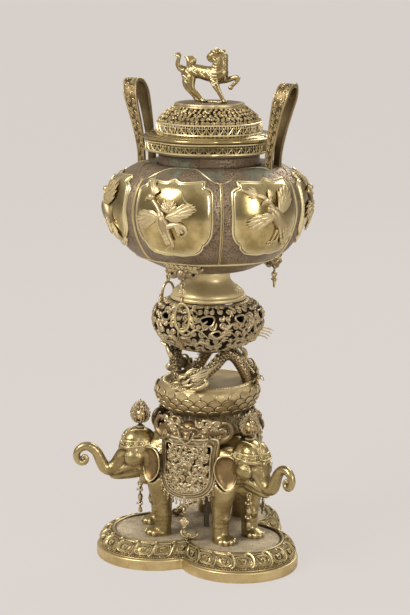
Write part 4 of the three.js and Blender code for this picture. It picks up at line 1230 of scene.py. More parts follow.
def make_elephant_head():
    shape = bmesh.new()
    ball(shape, (HEAD_OUT - 3, 0, HEAD_Z + 2), (26, 26.5, 26), sides=32)
    neck = [(NECK_OUT - 4, 0, HEAD_Z - 14, 28), (HEAD_OUT - 10, 0, HEAD_Z - 6, 26)]
    limb(shape, neck, sides=28, up=(0, 0, 1))
    for side in (1, -1):
        ball(shape, (HEAD_OUT + 6, side * 9.5, HEAD_Z + 10), (17, 13, 15))
        ball(shape, (HEAD_OUT + 6, side * 17, HEAD_Z - 13), (17, 11.5, 14))
        brow = [
            (HEAD_OUT + 6, side * 24, HEAD_Z - 1, 3.5),
            (HEAD_OUT + 15, side * 20.5, HEAD_Z + 2.5, 4.2),
            (HEAD_OUT + 22, side * 12, HEAD_Z + 1, 4),
            (HEAD_OUT + 25, side * 3, HEAD_Z - 2, 4),
        ]
        limb(shape, brow, sides=12)
        lip = [
            (HEAD_OUT + 2, side * 17, HEAD_Z - 24, 7),
            (HEAD_OUT + 14, side * 13.5, HEAD_Z - 28, 5.5),
            (HEAD_OUT + 26, side * 9.5, HEAD_Z - 33.5, 4.2),
            (HEAD_OUT + 35, side * 6, HEAD_Z - 39, 2.8),
        ]
        limb(shape, lip, sides=12)
    limb(shape, trunk_path(), sides=24, up=(0, 1, 0), steps=5)
    jaw = [
        (HEAD_OUT - 10, 0, HEAD_Z - 27, 18),
        (HEAD_OUT + 5, 0, HEAD_Z - 36, 13),
        (HEAD_OUT + 20, 0, HEAD_Z - 41.5, 8.6),
        (HEAD_OUT + 32, 0, HEAD_Z - 45, 5.2),
        (HEAD_OUT + 39, 0, HEAD_Z - 45.5, 2.8),
    ]
    limb(shape, jaw, sides=20, up=(0, 1, 0))
    cast = fused(shape, 1.2, 3)

    def skin(point):
        x, y, z = point
        depth = 0.2 * noise.noise(Vector((x * 0.35, y * 0.35, z * 0.35)))
        if x < HEAD_OUT + 24 and z < HEAD_Z - 4 and abs(y) > 8:
            depth += 0.16 * math.sin((z + 0.35 * x) * 0.75)
        return depth

    carve(cast, skin)
    behind_ears(cast, -14, 17)
    clear_of_cloths(cast)
    ears = bmesh.new()
    levels = [
        (0.04, -3.4),
        (0.5, -3.4),
        (0.9, -2.6),
        (1.0, -0.6),
        (1.0, 0.9),
        (0.95, 1.9),
        (0.88, 1.3),
        (0.82, 0.0),
        (0.6, -0.5),
        (0.3, -0.4),
        (0.04, -0.4),
    ]
    for side in (1, -1):
        nested(ears, ear_outline(), levels, ear_skin(side), back=True)
    bmesh.ops.recalc_face_normals(ears, faces=ears.faces)
    trim = head_trim(cast)
    for name, turn in ELEPHANTS.items():
        piece(
            f"elephant_head_{name}_cast",
            cast.copy(),
            SATIN,
            nodes=[f"elephant_head_{name}"],
            turn=turn,
        )
        piece(f"elephant_ears_{name}", ears.copy(), EARED, turn=turn)
        piece(f"elephant_headband_{name}", trim.copy(), GILT, turn=turn)


def head_trim(cast):
    """The eyes with their lids, the headband of rosettes and cords, and the chest eye."""
    look = seen_from(cast)
    trim = bmesh.new()
    for side in (1, -1):
        spot, normal = look((HEAD_OUT, 0, HEAD_Z - 5), (0.72, side, -0.05))
        ball(trim, spot - normal * 0.6, (3.1, 3.1, 3.1), sides=16)
        along = Vector((1, side * -0.8, -0.25)).normalized()
        for lift, width in ((2.4, 1.0), (-2.2, 0.8), (5.4, 0.8)):
            lid = []
            for k in range(7):
                share = k / 3 - 1
                bend = lift * (1 - share * share * 0.9)
                aim = spot + along * share * 6.4 + Vector((0, 0, bend)) + normal * 5
                found, facing = look(aim, -normal)
                if found:
                    lid.append((*(found + normal * 0.1), width * (1.1 - 0.5 * abs(share))))
            if len(lid) > 3:
                sweep(trim, tipped(lid), sides=8)
    for height, width in ((7.5, 1.2), (-1.5, 1.1)):
        cord = []
        for k in range(33):
            turn = math.radians(-98 + 196 * k / 32)
            lift = (height - 3.5 * math.cos(turn)) / 30 + 0.12
            spot, normal = look((HEAD_OUT - 4, 0, HEAD_Z + 4), (math.cos(turn), math.sin(turn), lift))
            if spot:
                cord.append((*(spot + normal * 0.4), width))
        sweep(trim, tipped(cord), sides=8)
    for k in range(9):
        turn = math.radians(-92 + 23 * k)
        lift = (3 - 3.5 * math.cos(turn)) / 30 + 0.12
        spot, normal = look((HEAD_OUT - 4, 0, HEAD_Z + 4), (math.cos(turn), math.sin(turn), lift))
        if spot:
            rosette(trim, spot + normal * 0.5, normal, 4.6 if k % 2 == 0 else 3.4)
    spot, normal = look((HEAD_OUT - 4, 0, HEAD_Z + 4), (1, 0, 0.5))
    rosette(trim, spot + normal * 0.5, normal, 5.6, 8)
    for side in (1, -1):
        line = []
        for k in range(9):
            share = k / 8
            spot, normal = look(
                (HEAD_OUT - 4, 0, HEAD_Z + 2), (1 - share * 1.2, side * (0.08 + 0.5 * share), 0.55 + 0.8 * share)
            )
            if spot:
                line.append((*(spot + normal * 0.3), 0.9))
        sweep(trim, tipped(line), sides=8)
    ring(trim, CHEST_EYE, EYE_RADIUS, WIRE)
    stem = [(*(CHEST_EYE + Vector((0, 0, EYE_RADIUS + 1))), WIRE), (CHEST_EYE.x, 0, HEAD_Z - 34, 2)]
    sweep(trim, tipped(stem), sides=10)
    return trim


def make_jewels():
    """A bead in a cup of flames, on a short stem, on each head."""
    x, z = JEWEL_OUT, JEWEL_FOOT_Z
    bead_shape = bmesh.new()
    ball(bead_shape, (x, 0, z + 18.6), (9, 9, 9.4), sides=24)
    cup = [
        (0, -3),
        (2, -3),
        (2, 0),
        (6.4, 0),
        (6.8, 1),
        (5, 2.4),
        (3, 3.4),
        (2.6, 5.6),
        (4.6, 7),
        (8.6, 9.2),
        (9, 10.4),
        (0, 10.4),
    ]
    flames = spun(cup, steps=24, closed=False)
    bmesh.ops.translate(flames, vec=(x, 0, z), verts=flames.verts)
    tongue = [
        (6, 7.6, 1.2),
        (10.6, 11, 1.4),
        (13.2, 16.4, 1.3),
        (12.2, 23, 1.2),
        (8.2, 28.6, 1.1),
        (3.8, 33.6, 1),
        (0.4, 41.8, 0.4),
    ]
    for k in range(6):
        turn = TAU * (k + 0.5) / 6
        c, s = math.cos(turn), math.sin(turn)
        limb(flames, [(x + r * c, r * s, z + h, w) for r, h, w in tongue], steps=3, sides=8)
        for height, reach in ((10, 11.6), (14.6, 13.6), (19.6, 14), (24.6, 12.2), (29, 9.2), (33, 6.2)):
            for aside in (0.0, 0.3):
                lick = [(reach - 2.2, height, 1.1), (reach + 0.4, height + 1.6, 1.0), (reach - 0.2, height + 4.4, 0.5)]
                path = [(x + r * math.cos(turn + aside), r * math.sin(turn + aside), z + h, w) for r, h, w in lick]
                limb(flames, path, steps=2, sides=6)
    for name, turn in ELEPHANTS.items():
        piece(f"flaming_jewel_{name}_bead", bead_shape.copy(), COPPERY, turn=turn)
        piece(
            f"flaming_jewel_{name}_flames",
            flames.copy(),
            SCROLLED,
            nodes=[f"flaming_jewel_{name}"],
            turn=turn,
        )


def hanging(eye, profile, steps=20):
    """A turned drop under a loop on an eye; the profile's heights run down from the loop."""
    loop = eye.z - EYE_RADIUS - (EYE_RADIUS - 2 * WIRE - GAP)
    top = loop - EYE_RADIUS + WIRE
    shape = spun([(r, -h) for r, h in profile], steps=steps, closed=False)
    bmesh.ops.translate(shape, vec=(eye.x, 0, top), verts=shape.verts)
    ring(shape, (eye.x, 0, loop), EYE_RADIUS, WIRE, "Y")
    return shape, top


def make_pendants():
    """Chest pendants and cloth pendants, each a hanging body of its own."""
    drop = [
        (0, 0),
        (1.6, 0),
        (2.6, 2),
        (1.5, 4),
        (1.3, 6),
        (2.9, 8.4),
        (1.4, 10.8),
        (1.3, 13),
        (3.4, 16),
        (3.8, 19),
        (3.0, 23),
        (1.4, 25),
        (1.3, 27),
        (3.0, 29.6),
        (1.4, 32),
        (1.4, 34.4),
        (2.8, 36.4),
        (3.2, 40),
        (2.6, 41.6),
        (0, 42),
    ]
    shape, top = hanging(CHEST_EYE, drop)
    for k in range(3):
        turn = TAU * k / 3
        spot = (CHEST_EYE.x + 4.4 * math.cos(turn), 4.4 * math.sin(turn), top - 6.6)
        ball(shape, spot, (1.5, 1.5, 2.6), sides=8)
        spot = (CHEST_EYE.x + 4.4 * math.cos(turn), 4.4 * math.sin(turn), top - 27.6)
        ball(shape, spot, (1.4, 1.4, 2.4), sides=8)
    for name, turn in ELEPHANTS.items():
        body = f"chest_pendant_{name}"
        piece(f"{body}_drop", shape.copy(), CAST, body, nodes=[body], turn=turn)
    stem = [
        (0, 0),
        (1.6, 0),
        (2.6, 1.8),
        (1.4, 3.6),
        (1.3, 9),
        (2.4, 10.4),
        (1.6, 12),
        (1.6, 22),
        (3.2, 24.6),
        (1.5, 27),
        (2.6, 29.6),
        (2.8, 32),
        (0, 34),
    ]
    shape, top = hanging(CLOTH_EYE, stem)
    centre = Vector((CLOTH_EYE.x + 0.6, 0, top - 16.6))
    for k in range(4):
        turn = TAU * k / 4
        leaf = Vector((0, math.cos(turn), math.sin(turn)))
        ball(shape, centre + leaf * 4.2, (1.9, 3.4, 3.4), sides=14)
    for k in range(4):
        turn = TAU * (k + 0.5) / 4
        leaf = Vector((0, math.cos(turn), math.sin(turn)))
        ball(shape, centre + leaf * 4.0, (1.6, 1.9, 1.9), sides=10)
    rosette(shape, centre + Vector((1.6, 0, 0)), (1, 0, 0), 3.4)
    for name, turn in CLOTHS.items():
        body = f"cloth_pendant_{name}"
        piece(f"{body}_drop", shape.copy(), CAST, body, nodes=[body], turn=turn)


# Saddle cloths, masks and collar
def on_cloth(y, z, out=0.0):
    """A point on the outer face of a saddle cloth that faces +X."""
    radius = cloth_radius(z) + CLOTH_THICK + out
    angle = math.asin(min(max(y / radius, -0.9), 0.9))
    return Vector((radius * math.cos(angle), radius * math.sin(angle), z))


def cloth_outline():
    half = CLOTH_WIDTH / 2
    foot = CLOTH_FOOT_Z
    side = [
        (0, BACK_Z + 2),
        (half * 0.5, BACK_Z + 2),
        (half, BACK_Z + 2),
        (half, BACK_Z - 20),
        (half, foot + 44),
        (half - 0.6, foot + 30),
        (half - 4.6, foot + 16),
        (half - 13, foot + 6.4),
        (half - 24, foot + 2.4),
        (half - 34, foot + 0.8),
        (0, foot),
    ]
    whole = side + [(-y, z) for y, z in reversed(side[1:-1])]
    return [tuple(p) for p in eased([*whole, whole[0]], 3)[:-1]]


CLOTH_SCROLLS = [
    (2, 114, 0.25, 46, 1.15, 1),
    (3, 121, 0.7, 40, 1.1, -1),
    (27, 128, 1.4, 34, 1.2, 1),
    (31, 143, 1.9, 30, 1.15, 1),
    (12, 128, 0.4, 30, 1.1, 1),
    (24, 150, 2.2, 26, 1.1, -1),
    (9, 160, 0.3, 34, 1.15, 1),
    (22, 174, -0.6, 26, 1.1, -1),
    (3, 178, -0.4, 36, 1.15, -1),
    (28, 184, -1.8, 28, 1.15, -1),
    (12, 186, -1.1, 28, 1.1, 1),
]
CLOTH_BOSSES = [
    (10.5, 163, 3.4),
    (15.5, 146, 3.8),
    (12, 128, 3.4),
    (22, 176, 2.6),
    (24.5, 160, 2.8),
    (27, 145, 2.4),
    (23, 131, 2.6),
    (10, 116, 2.4),
]


def make_cloths():
    band = [
        (1.0, -4.0),
        (1.0, 0.0),
        (0.985, 0.7),
        (0.958, 0.7),
        (0.948, -0.1),
        (0.915, -0.1),
        (0.905, 0.6),
        (0.882, 0.6),
        (0.872, -0.1),
        (0.826, -0.1),
        (0.816, 1.1),
        (0.788, 1.1),
        (0.776, -0.4),
        (0.776, -3.4),
        (0.9, -4.0),
        (1.0, -4.0),
    ]
    plate = bmesh.new()
    nested(plate, cloth_outline(), band, on_cloth, front=False)
    bmesh.ops.remove_doubles(plate, verts=plate.verts, dist=1e-3)
    bmesh.ops.recalc_face_normals(plate, faces=plate.faces)
    work = bmesh.new()
    for hand in (1, -1):
        for y, z, heading, size, turns, way in CLOTH_SCROLLS:
            if hand < 0:
                heading = math.pi - heading
            path = curl(hand * y, z, heading, size, turns, way * hand, 1.7, 14)
            stroke(work, path, on_cloth, rise=1.0, sink=1.2)
    for y, z, size in [*CLOTH_BOSSES, *[(-y, z, size) for y, z, size in CLOTH_BOSSES], (0, 177, 3), (0, 121, 3)]:
        hand = 1 if y > 0 else -1
        ball(work, on_cloth(y, z, 1.0), (size, size, size), sides=12)
        stroke(work, volute(y, z, size * 1.75, 1.2 * hand, hand, 1.1, 1.0, 14), on_cloth, rise=1.1, sink=1.0)
    spots = []
    for row in range(9):
        for k in range(8):
            y = (k - 3.5) * 8.6 + 4.3 * (row % 2)
            z = 114 + row * 8.6
            if abs(y) < 32 and z > cloth_foot(y * 1.2) + 11:
                spots.append((y, z))
    scroll_field(work, on_cloth, spots, 3.7, 1.2, 1.1, 2.0)
    for k in range(19):
        share = k / 18 * 2 - 1
        y = share * 33
        z = cloth_foot(y / 0.82) + 12.5 - 6 * share * share
        ring_on(work, y, z, 2.3, on_cloth)
    rim_of_cloth(work)
    beast_on_cloth(work)
    ring(work, CLOTH_EYE, EYE_RADIUS, WIRE)
    link = [(CLOTH_EYE.x, 0, CLOTH_EYE.z + EYE_RADIUS + 0.6, 1.6), (CLOTH_EYE.x, 0, CLOTH_FOOT_Z + 3, 2.4)]
    sweep(work, tipped(link), sides=10)
    for name, turn in CLOTHS.items():
        piece(
            f"saddle_cloth_{name}_border",
            plate.copy(),
            CLOTH,
            nodes=[f"saddle_cloth_{name}"],
            turn=turn,
        )
        piece(f"saddle_cloth_{name}_scrolls", work.copy(), SCROLLED, turn=turn)


def ring_on(shape, across, up, radius, place):
    """A small raised ring on a surface."""
    path = []
    for k in range(13):
        turn = TAU * k / 12
        path.append((across + radius * math.cos(turn), up + radius * math.sin(turn), 0.75))
    stroke(shape, path, place, rise=1.3, sink=0.4)


def rim_of_cloth(shape):
    """A lacy fringe of loops and tassels round the lower edge of a saddle cloth."""
    outline = cloth_outline()
    middle = Vector((0, 146))
    lower = [Vector(p) for p in outline if p[1] < CLOTH_FOOT_Z + 34]
    walk = 0.0
    for a, b in zip(lower, lower[1:]):
        if (b - a).length > 20:
            continue
        walk += (b - a).length
        if walk < 4.6:
            continue
        walk = 0.0
        away = (b - middle).normalized()
        drop = Vector((away.x * 0.25, -1)).normalized()
        edge = b + away * 0.5
        ring_on(shape, edge.x + away.x * 1.6, edge.y + away.y * 1.6, 1.7, on_cloth)
        foot = edge + drop * 8.4
        tassel = [(edge.x + drop.x * 3, edge.y + drop.y * 3, 0.7), (foot.x, foot.y, 1.5)]
        stroke(shape, tassel, on_cloth, rise=1.0, sink=1.4)


def beast_on_cloth(shape):
    """The little beast in the middle of a saddle cloth's scrolls."""
    ball(shape, on_cloth(0, 149, 0.4), (4.6, 8.4, 7.4))
    ball(shape, on_cloth(0, 145, 3.4), (3.6, 4.6, 3.2))
    for side in (1, -1):
        ball(shape, on_cloth(side * 3.4, 151.6, 4.2), (1.5, 1.7, 1.5), sides=10)
        horn = [(side * 3, 155, 1.6), (side * 8, 161, 1.4), (side * 5, 166, 1.0)]
        stroke(shape, horn, on_cloth, rise=1.3, steps=4)
        leg = [(side * 5, 143, 2.4), (side * 9, 136, 2.0), (side * 5, 131, 1.6)]
        stroke(shape, leg, on_cloth, rise=1.2, steps=4)
    for k in range(9):
        turn = math.pi * (0.1 + 0.1 * k)
        spot = on_cloth(9 * math.cos(turn), 150 + 7 * math.sin(turn), 1.0)
        ball(shape, spot, (2, 2, 2), sides=8)


def make_beast_masks():
    """A beast's face over each saddle cloth, in leafy clouds, with a pair of scrolled horns."""
    shape = bmesh.new()
    out = CLOTH_TOP_RADIUS - 7
    z = BACK_Z
    ball(shape, (out, 0, z + 13), (12, 16, 12))
    ball(shape, (out + 9, 0, z + 6.5), (7, 8, 6.6))
    ball(shape, (out + 13.6, 0, z + 3), (4, 5.4, 4))
    for side in (1, -1):
        brow = [
            (out + 12, side * 2, z + 15, 2.4),
            (out + 11, side * 8, z + 17.6, 2.8),
            (out + 5, side * 14, z + 14, 2.2),
        ]
        limb(shape, brow, sides=8)
        ball(shape, (out + 11, side * 6, z + 12), (3, 3.2, 3), sides=14)
        ear = [(out + 2, side * 15, z + 17, 3), (out, side * 20, z + 22, 2.4), (out - 2, side * 18, z + 26, 1.2)]
        limb(shape, ear, sides=8)
        jaw = [(out + 8, side * 9, z + 5, 3), (out + 2, side * 16, z + 5, 3.6), (out - 2, side * 24, z + 9, 3)]
        limb(shape, jaw, sides=8)
        whisker = [
            (out + 14, side * 12, z + 11, 1.6),
            (out + 16, side * 8.4, z + 2, 1.6),
            (out + 16, 0, z - 6, 1.4),
        ]
        limb(shape, whisker, sides=8)
        wing = [(out - 2, side * 12, z + 8, 7), (out - 5, side * 28, z + 8, 7), (out - 12, side * 44, z + 10, 5.6)]
        limb(shape, wing, sides=14)
        leaf = [(out + 6, side * 30, z + 2, 3), (out + 4, side * 38, z - 3, 2.8), (out + 2, side * 36, z - 9, 1.8)]
        limb(shape, leaf, sides=8)
        for points in mask_scrolls(out, z):
            limb(shape, [(x, side * y, h, w) for x, y, h, w in points], sides=10)
    cast = fused(shape, 0.9, 1)

    def ahead(y, h, rise=0.0):
        return Vector((out + 5.5 + rise - y * y / 150, y, z + h))

    leaves = bmesh.new()
    spots = []
    for row in range(3):
        for k in range(8):
            y = (k - 3.5) * 11.4 + 5.7 * (row % 2)
            if abs(y) > 14 - row * 4:
                spots.append((y, 4 + 9 * row))
    scroll_field(leaves, ahead, spots, 5.2, 2.1, 1.4, 0.6)
    for name, turn in CLOTHS.items():
        piece(f"beast_mask_{name}_cast", cast.copy(), RELIEF, nodes=[f"beast_mask_{name}"], turn=turn)
        piece(f"beast_mask_{name}_leaves", leaves.copy(), SCROLLED, turn=turn)


def mask_scrolls(out, z):
    """The paths of one side's horn and cloud scrolls on a beast mask."""
    return [
        [
            (out + 1, 22, z + 3, 5),
            (out - 3, 34, z - 2, 4.8),
            (out - 8, 46, z - 3, 4.4),
            (out - 13, 56, z + 4, 4.2),
            (out - 15, 58.5, z + 14, 4),
            (out - 15, 53, z + 22, 3.6),
            (out - 13, 44.6, z + 22, 3.2),
            (out - 11, 40.6, z + 15.6, 2.8),
            (out - 11, 44.6, z + 10.6, 2.2),
        ],
        [
            (out - 8, 40, z + 2, 2.8),
            (out - 11, 49, z + 5, 2.6),
            (out - 12, 50, z + 12, 2.2),
        ],
        [
            (out - 3, 24, z + 10, 3.6),
            (out - 3, 30, z + 19, 3.2),
            (out - 5, 27, z + 27, 2.8),
            (out - 5, 21, z + 25.6, 2.2),
            (out - 4, 22.4, z + 21, 1.7),
        ],
    ]


def make_collar():
    """The pierced ring of cloud scrolls between the elephants' backs and the drum."""
    low = BACK_Z + GAP
    high = LOTUS_Z - GAP
    wall = spun(
        [(12, low), (57, low), (58, low + 3), (55, low + 5), (44, low + 5), (44, high - 3), (49, high - 3), (50, high), (12, high)],
        closed=False,
    )
    piece("scroll_collar_wall", wall, CAST, nodes=["scroll_collar"])
    skin = skin_of([(58, low + 3), (57, low + 8), (52, low + 14), (50, high)])
    work = bmesh.new()
    spots = []
    for row, count in ((4, 38), (11.5, 36), (19, 34), (26, 34)):
        for k in range(count):
            spots.append((skin.length * (k + 0.5 * (row % 2)) / count, min(row, skin.height - 3)))
    scroll_field(work, skin, spots, 4.6, 1.7, 1.2, 0.6)
    count = 12
    for k in range(count):
        x = skin.length * (k + 0.3) / count
        hand = 1 if k % 2 else -1
        stroke(work, curl(x, 1.5, 1.3, 34, 1.15, hand, 2.3, 14), skin, rise=1.2, sink=-1.6)
        stroke(work, curl(x + 14, skin.height - 2, -1.8, 28, 1.1, -hand, 2.0, 14), skin, rise=1.2, sink=-1.2)
    piece("scroll_collar_clouds", work, SCROLLED)


# Stem
def make_lotus():
    """A drum of overlapping lotus petals, with a fluted edge round its level top."""
    rise = LOTUS_TOP_Z - LOTUS_Z
    wide = LOTUS_RADIUS

    def level(share):
        return LOTUS_Z + share * rise

    flank = [
        (wide - 17, level(0.05)),
        (wide - 11, level(0.17)),
        (wide - 5.6, level(0.36)),
        (wide - 2.4, level(0.54)),
        (wide - 1.2, level(0.7)),
        (wide - 3.6, level(0.82)),
        (wide - 7.6, level(0.9)),
    ]
    line = [
        (0, level(0.1)),
        (40, level(0.03)),
        (47, level(0.01)),
        *flank,
        (wide - 9.6, level(0.95)),
        (wide - 10.4, level(0.99)),
        (wide - 12, LOTUS_TOP_Z),
        (wide - 17, LOTUS_TOP_Z),
        (wide - 18, LOTUS_TOP_Z - 0.8),
        (0, LOTUS_TOP_Z - 0.8),
    ]
    drum = spun(line, steps=144, closed=False)
    skin = skin_of([tuple(p) for p in eased([(*p, 0) for p in flank], 3)])

    def tilted(across, up, out=0.0):
        return skin(across, up, out + 2.6 * max(up / skin.height, 0) ** 5)

    for height, turn, out in ((39, 0.5, -0.6), (31, 0.0, 0.0), (23, 0.5, 0.6), (14, 0.0, 1.2)):
        petals(drum, tilted, skin.length, height, turn, out)
    for i in range(96):
        angle = TAU * i / 96
        turn = Matrix.Rotation(angle, 4, "Z")
        spot = turn @ Vector((wide - 13.6, 0, LOTUS_TOP_Z + 0.1))
        ball(drum, spot, (3.0, 1.5, 1.1), turn, sides=8)
    piece("lotus_drum_petals", drum, LEAFY, nodes=["lotus_drum"])


def petals(shape, place, length, height, turn, out):
    """A row of petals that rise from a surface's foot and lean out at their round tops."""
    half = length / PETALS / 2 - 0.1
    levels = [(1.0, -1.0), (1.0, 0.7), (0.94, 1.2), (0.84, 0.6), (0.6, 0.4), (0.3, 0.6), (0.06, 0.6)]

    def leaning(across, up, rise=0.0):
        return place(across, up, rise + out + 1.7 * min(max(up / height, 0), 1) ** 3)

    for i in range(PETALS):
        middle = length * (i + turn) / PETALS
        outline = [(middle + x, y) for x, y in petal_outline(half, height)]
        nested(shape, outline, levels, leaning)


def petal_outline(half, height, steps=10):
    """A lotus petal with level sides and a round top."""
    side = [(half, 0), (half, height * 0.3)]
    shoulder = max(height - half * 0.95, height * 0.4)
    for i in range(steps + 1):
        turn = math.pi / 2 * i / steps
        side.append((half * math.cos(turn) ** 0.8, shoulder + (height - shoulder) * math.sin(turn)))
    side[-1] = (0, height)
    return side + [(-x, y) for x, y in reversed(side[:-1])]


# Dragons: angles run back from the snout, and heights are shares of the way from drum to bulb
DRAGON_TURN = 262
DRAGON_BODY = [
    (4, 62, 0.2, 6.4),
    (12, 60.5, 0.26, 7.2),
    (24, 56, 0.36, 7.6),
    (42, 50, 0.6, 7.6),
    (58, 46.5, 0.82, 7.8),
    (70, 47, 0.86, 7.8),
    (82, 50, 0.74, 7.6),
    (92, 54, 0.48, 7.2),
    (100, 57.5, 0.2, 6.6),
    (106, 59.5, -0.06, 6.2),
]


def about_axis(angle, out, z, *more):
    """A point at an angle in degrees round the burner's axis."""
    turn = math.radians(angle)
    return (out * math.cos(turn), out * math.sin(turn), z, *more)


def scales(run, turn):
    """How far overlapping scales on a dragon's back and plates on its belly stand out."""
    if math.cos(turn) < -0.5:
        return 0.12 * abs(math.sin(run * math.pi / 4.4)) - 0.03
    row = run / 4.4
    side = (turn / TAU * 11 + 0.5 * (math.floor(row) % 2)) % 1 * 2 - 1
    edge = 0.5 + 0.5 * (1 - side * side)
    ahead = row % 1
    return 0.22 * ahead / edge if ahead < edge else -0.04


def make_dragons():
    """Three dragons that arch from the drum to the bulb, each with its head on the drum's rim."""
    rise = BULB_Z - LOTUS_TOP_Z
    spine = [about_axis(a, out, LOTUS_TOP_Z + share * rise, r) for a, out, share, r in DRAGON_BODY]
    path = eased(spine, 18)
    shape = bmesh.new()
    sweep(shape, tipped(path), sides=56, up=(0, 0, 1), swell=scales)
    back = frames(path, (0, 0, 1))
    for i in range(12, len(path) - 16, 8):
        place, across, other, run = back[i]
        ahead = (back[i + 1][0] - place).normalized()
        root = place + across * path[i][3] * 0.85
        fin = [
            (*root, 1.9),
            (*(root + across * 3.2 + ahead * 1.4), 1.2),
            (*(root + across * 5.4 + ahead * 4.2), 0.4),
        ]
        limb(shape, fin, steps=2, sides=8)
    low = LOTUS_TOP_Z
    foreleg = [
        about_axis(24, 60, low + 15, 5),
        about_axis(29, 67, low + 10, 4.2),
        about_axis(24, 71, low + 5, 3.4),
        about_axis(19, 71.5, low + 2.6, 3),
    ]
    hindleg = [
        about_axis(84, 54, low + 36, 5),
        about_axis(90, 61, low + 42, 4.2),
        about_axis(86, 63, low + 50, 3.4),
        about_axis(81, 62, low + 54, 2.8),
    ]
    for leg in (foreleg, hindleg):
        limb(shape, leg, steps=5, sides=14)
    for k in range(4):
        claw = [
            about_axis(19, 71.5, low + 2.6, 2),
            about_axis(15.4 - 1.2 * abs(k - 1.5), 69 + 2.4 * k, low + 3.2, 1.5),
            about_axis(12.6 - 1.2 * abs(k - 1.5), 68.6 + 2.8 * k, low + 0.6, 0.6),
        ]
        limb(shape, claw, steps=3, sides=8)
        grip = [
            about_axis(81, 62, low + 54, 2),
            about_axis(77.6 - abs(k - 1.5), 60 + 2.6 * k, low + 56.6, 1.4),
            about_axis(74.4 - abs(k - 1.5), 60 + 3.4 * k, low + 55 + 1.4 * k, 0.6),
        ]
        limb(shape, grip, steps=3, sides=8)
    dragon_head(shape, Vector(about_axis(0, 64.5, low + 9.5)))
    mane = bmesh.new()
    for k in range(33):
        side = (k % 11) / 5 - 1
        tier = k // 11
        wave = 2 * scatter(k) - 1
        strand = [
            about_axis(4, 62.5 + 1.6 * tier, low + 11 + 6 * side, 0.9),
            about_axis(13, 65 + 1.8 * tier - 2 * abs(side), low + 13 + 8 * side + 1.6 * wave, 0.9),
            about_axis(23 + 2 * tier, 62 + 2.2 * tier - 3 * abs(side), low + 17 + 8.6 * side - 2 * wave, 0.8),
            about_axis(32 + 5 * side, 57.6 + 1.8 * tier, low + 23 + 8 * side + 2 * wave, 0.7),
            about_axis(40 + 7 * side, 55.6 + 1.8 * tier, low + 29 + 8 * side, 0.4),
        ]
        strand = [p for p in strand if p[2] > low + 1.4]
        if len(strand) > 2:
            limb(mane, strand, steps=3, sides=6)
    for i, name in enumerate(("front", "right", "rear")):
        turn = DRAGON_TURN + 120 * i
        piece(f"dragon_{name}_cast", shape.copy(), RELIEF, nodes=[f"dragon_{name}"], turn=turn)
        piece(f"dragon_{name}_mane", mane.copy(), SCROLLED, turn=turn)


def dragon_head(shape, middle):
    """A horned head that looks out and down over the drum's rim."""
    ahead = Vector((0.42, -0.84, -0.26)).normalized()
    side = ahead.cross(Vector((0, 0, 1))).normalized()
    over = side.cross(ahead)
    turn = Matrix((ahead, side, over)).transposed().to_4x4()

    def at(f, a, u, *more):
        return (*(middle + ahead * f + side * a + over * u), *more)

    ball(shape, at(0, 0, 0.5), (8.6, 7.2, 6.6), turn, sides=24)
    snout = [at(3, 0, 1.4, 6), at(9, 0, 0.8, 5), at(15, 0, 1.2, 4.2), at(19.5, 0, 3, 3.6)]
    limb(shape, snout, sides=18, up=tuple(over), flat=0.8)
    jaw = [at(1, 0, -4.6, 4.2), at(8, 0, -7.4, 3.4), at(14, 0, -8.6, 2.6), at(18, 0, -7.6, 1.8)]
    limb(shape, jaw, sides=14)
    tongue = [at(4, 0, -4, 1.8), at(12, 0, -5, 1.6), at(19, 0, -4.4, 1.1), at(22, 0, -2.8, 0.5)]
    limb(shape, tongue, sides=8)
    for hand in (1, -1):
        ball(shape, at(19.6, hand * 2.6, 4.6), (2.4, 2.1, 1.9), turn, sides=12)
        brow = [at(8.6, hand * 2.6, 5.4, 1.9), at(4, hand * 5.4, 7.8, 2.5), at(-3, hand * 7.4, 8.4, 1.4)]
        limb(shape, brow, sides=10)
        ball(shape, at(6.4, hand * 4.8, 3.6), (2.5, 2.3, 2.5), turn, sides=14)
        horn = [at(-1, hand * 4, 6.4, 2.2), at(-8, hand * 6, 11, 1.9), at(-16, hand * 6, 13, 1.4), at(-22, hand * 4.6, 11.6, 0.6)]
        limb(shape, horn, sides=10)
        cheek = [at(2, hand * 6, -1, 2.6), at(-4, hand * 9.4, 0.6, 2.2), at(-9, hand * 10.4, 4, 1.0)]
        limb(shape, cheek, sides=8)
        frill = [at(1, hand * 6, -4, 2.4), at(-5, hand * 9, -5.4, 2), at(-11, hand * 10, -4, 0.9)]
        limb(shape, frill, sides=8)
        whisker = [at(16, hand * 3.4, 0, 1.1), at(20, hand * 8, -2.4, 0.9), at(15, hand * 12.4, -4.4, 0.8), at(8, hand * 13, -2, 0.5)]
        limb(shape, whisker, sides=8)
        for k in range(4):
            tooth = [at(7 + 3 * k, hand * 3.4, -2.4, 0.9), at(7.4 + 3 * k, hand * 3.5, -4.9, 0.35)]
            limb(shape, tooth, steps=2, sides=6)
            beard = [
                at(3 + 3 * k, hand * 2.2, -9, 1.3),
                at(0.6 + 3 * k, hand * 3.2, -12, 1.1),
                at(-2.6 + 3 * k, hand * 3, -13.6, 0.5),
            ]
            limb(shape, beard, steps=3, sides=6)
    ball(shape, at(12.4, 0, 5), (2.2, 1.6, 1.8), turn, sides=10)


# Openwork bulb
BULB_LINE = [
    (42, BULB_Z - 3, 0),
    (53, BULB_Z + 1.5, 0),
    (64, BULB_Z + 8.5, 0),
    (73, BULB_Z + 17, 0),
    (BULB_RADIUS - 2.6, BULB_Z + 27, 0),
    (BULB_RADIUS - 1, BULB_Z + 38, 0),
    (BULB_RADIUS - 2.4, BULB_Z + 48, 0),
    (BULB_RADIUS - 7.4, BULB_Z + 58, 0),
    (BULB_RADIUS - 15, BULB_TOP_Z - 2.6, 0),
    (54, BULB_TOP_Z, 0),
]


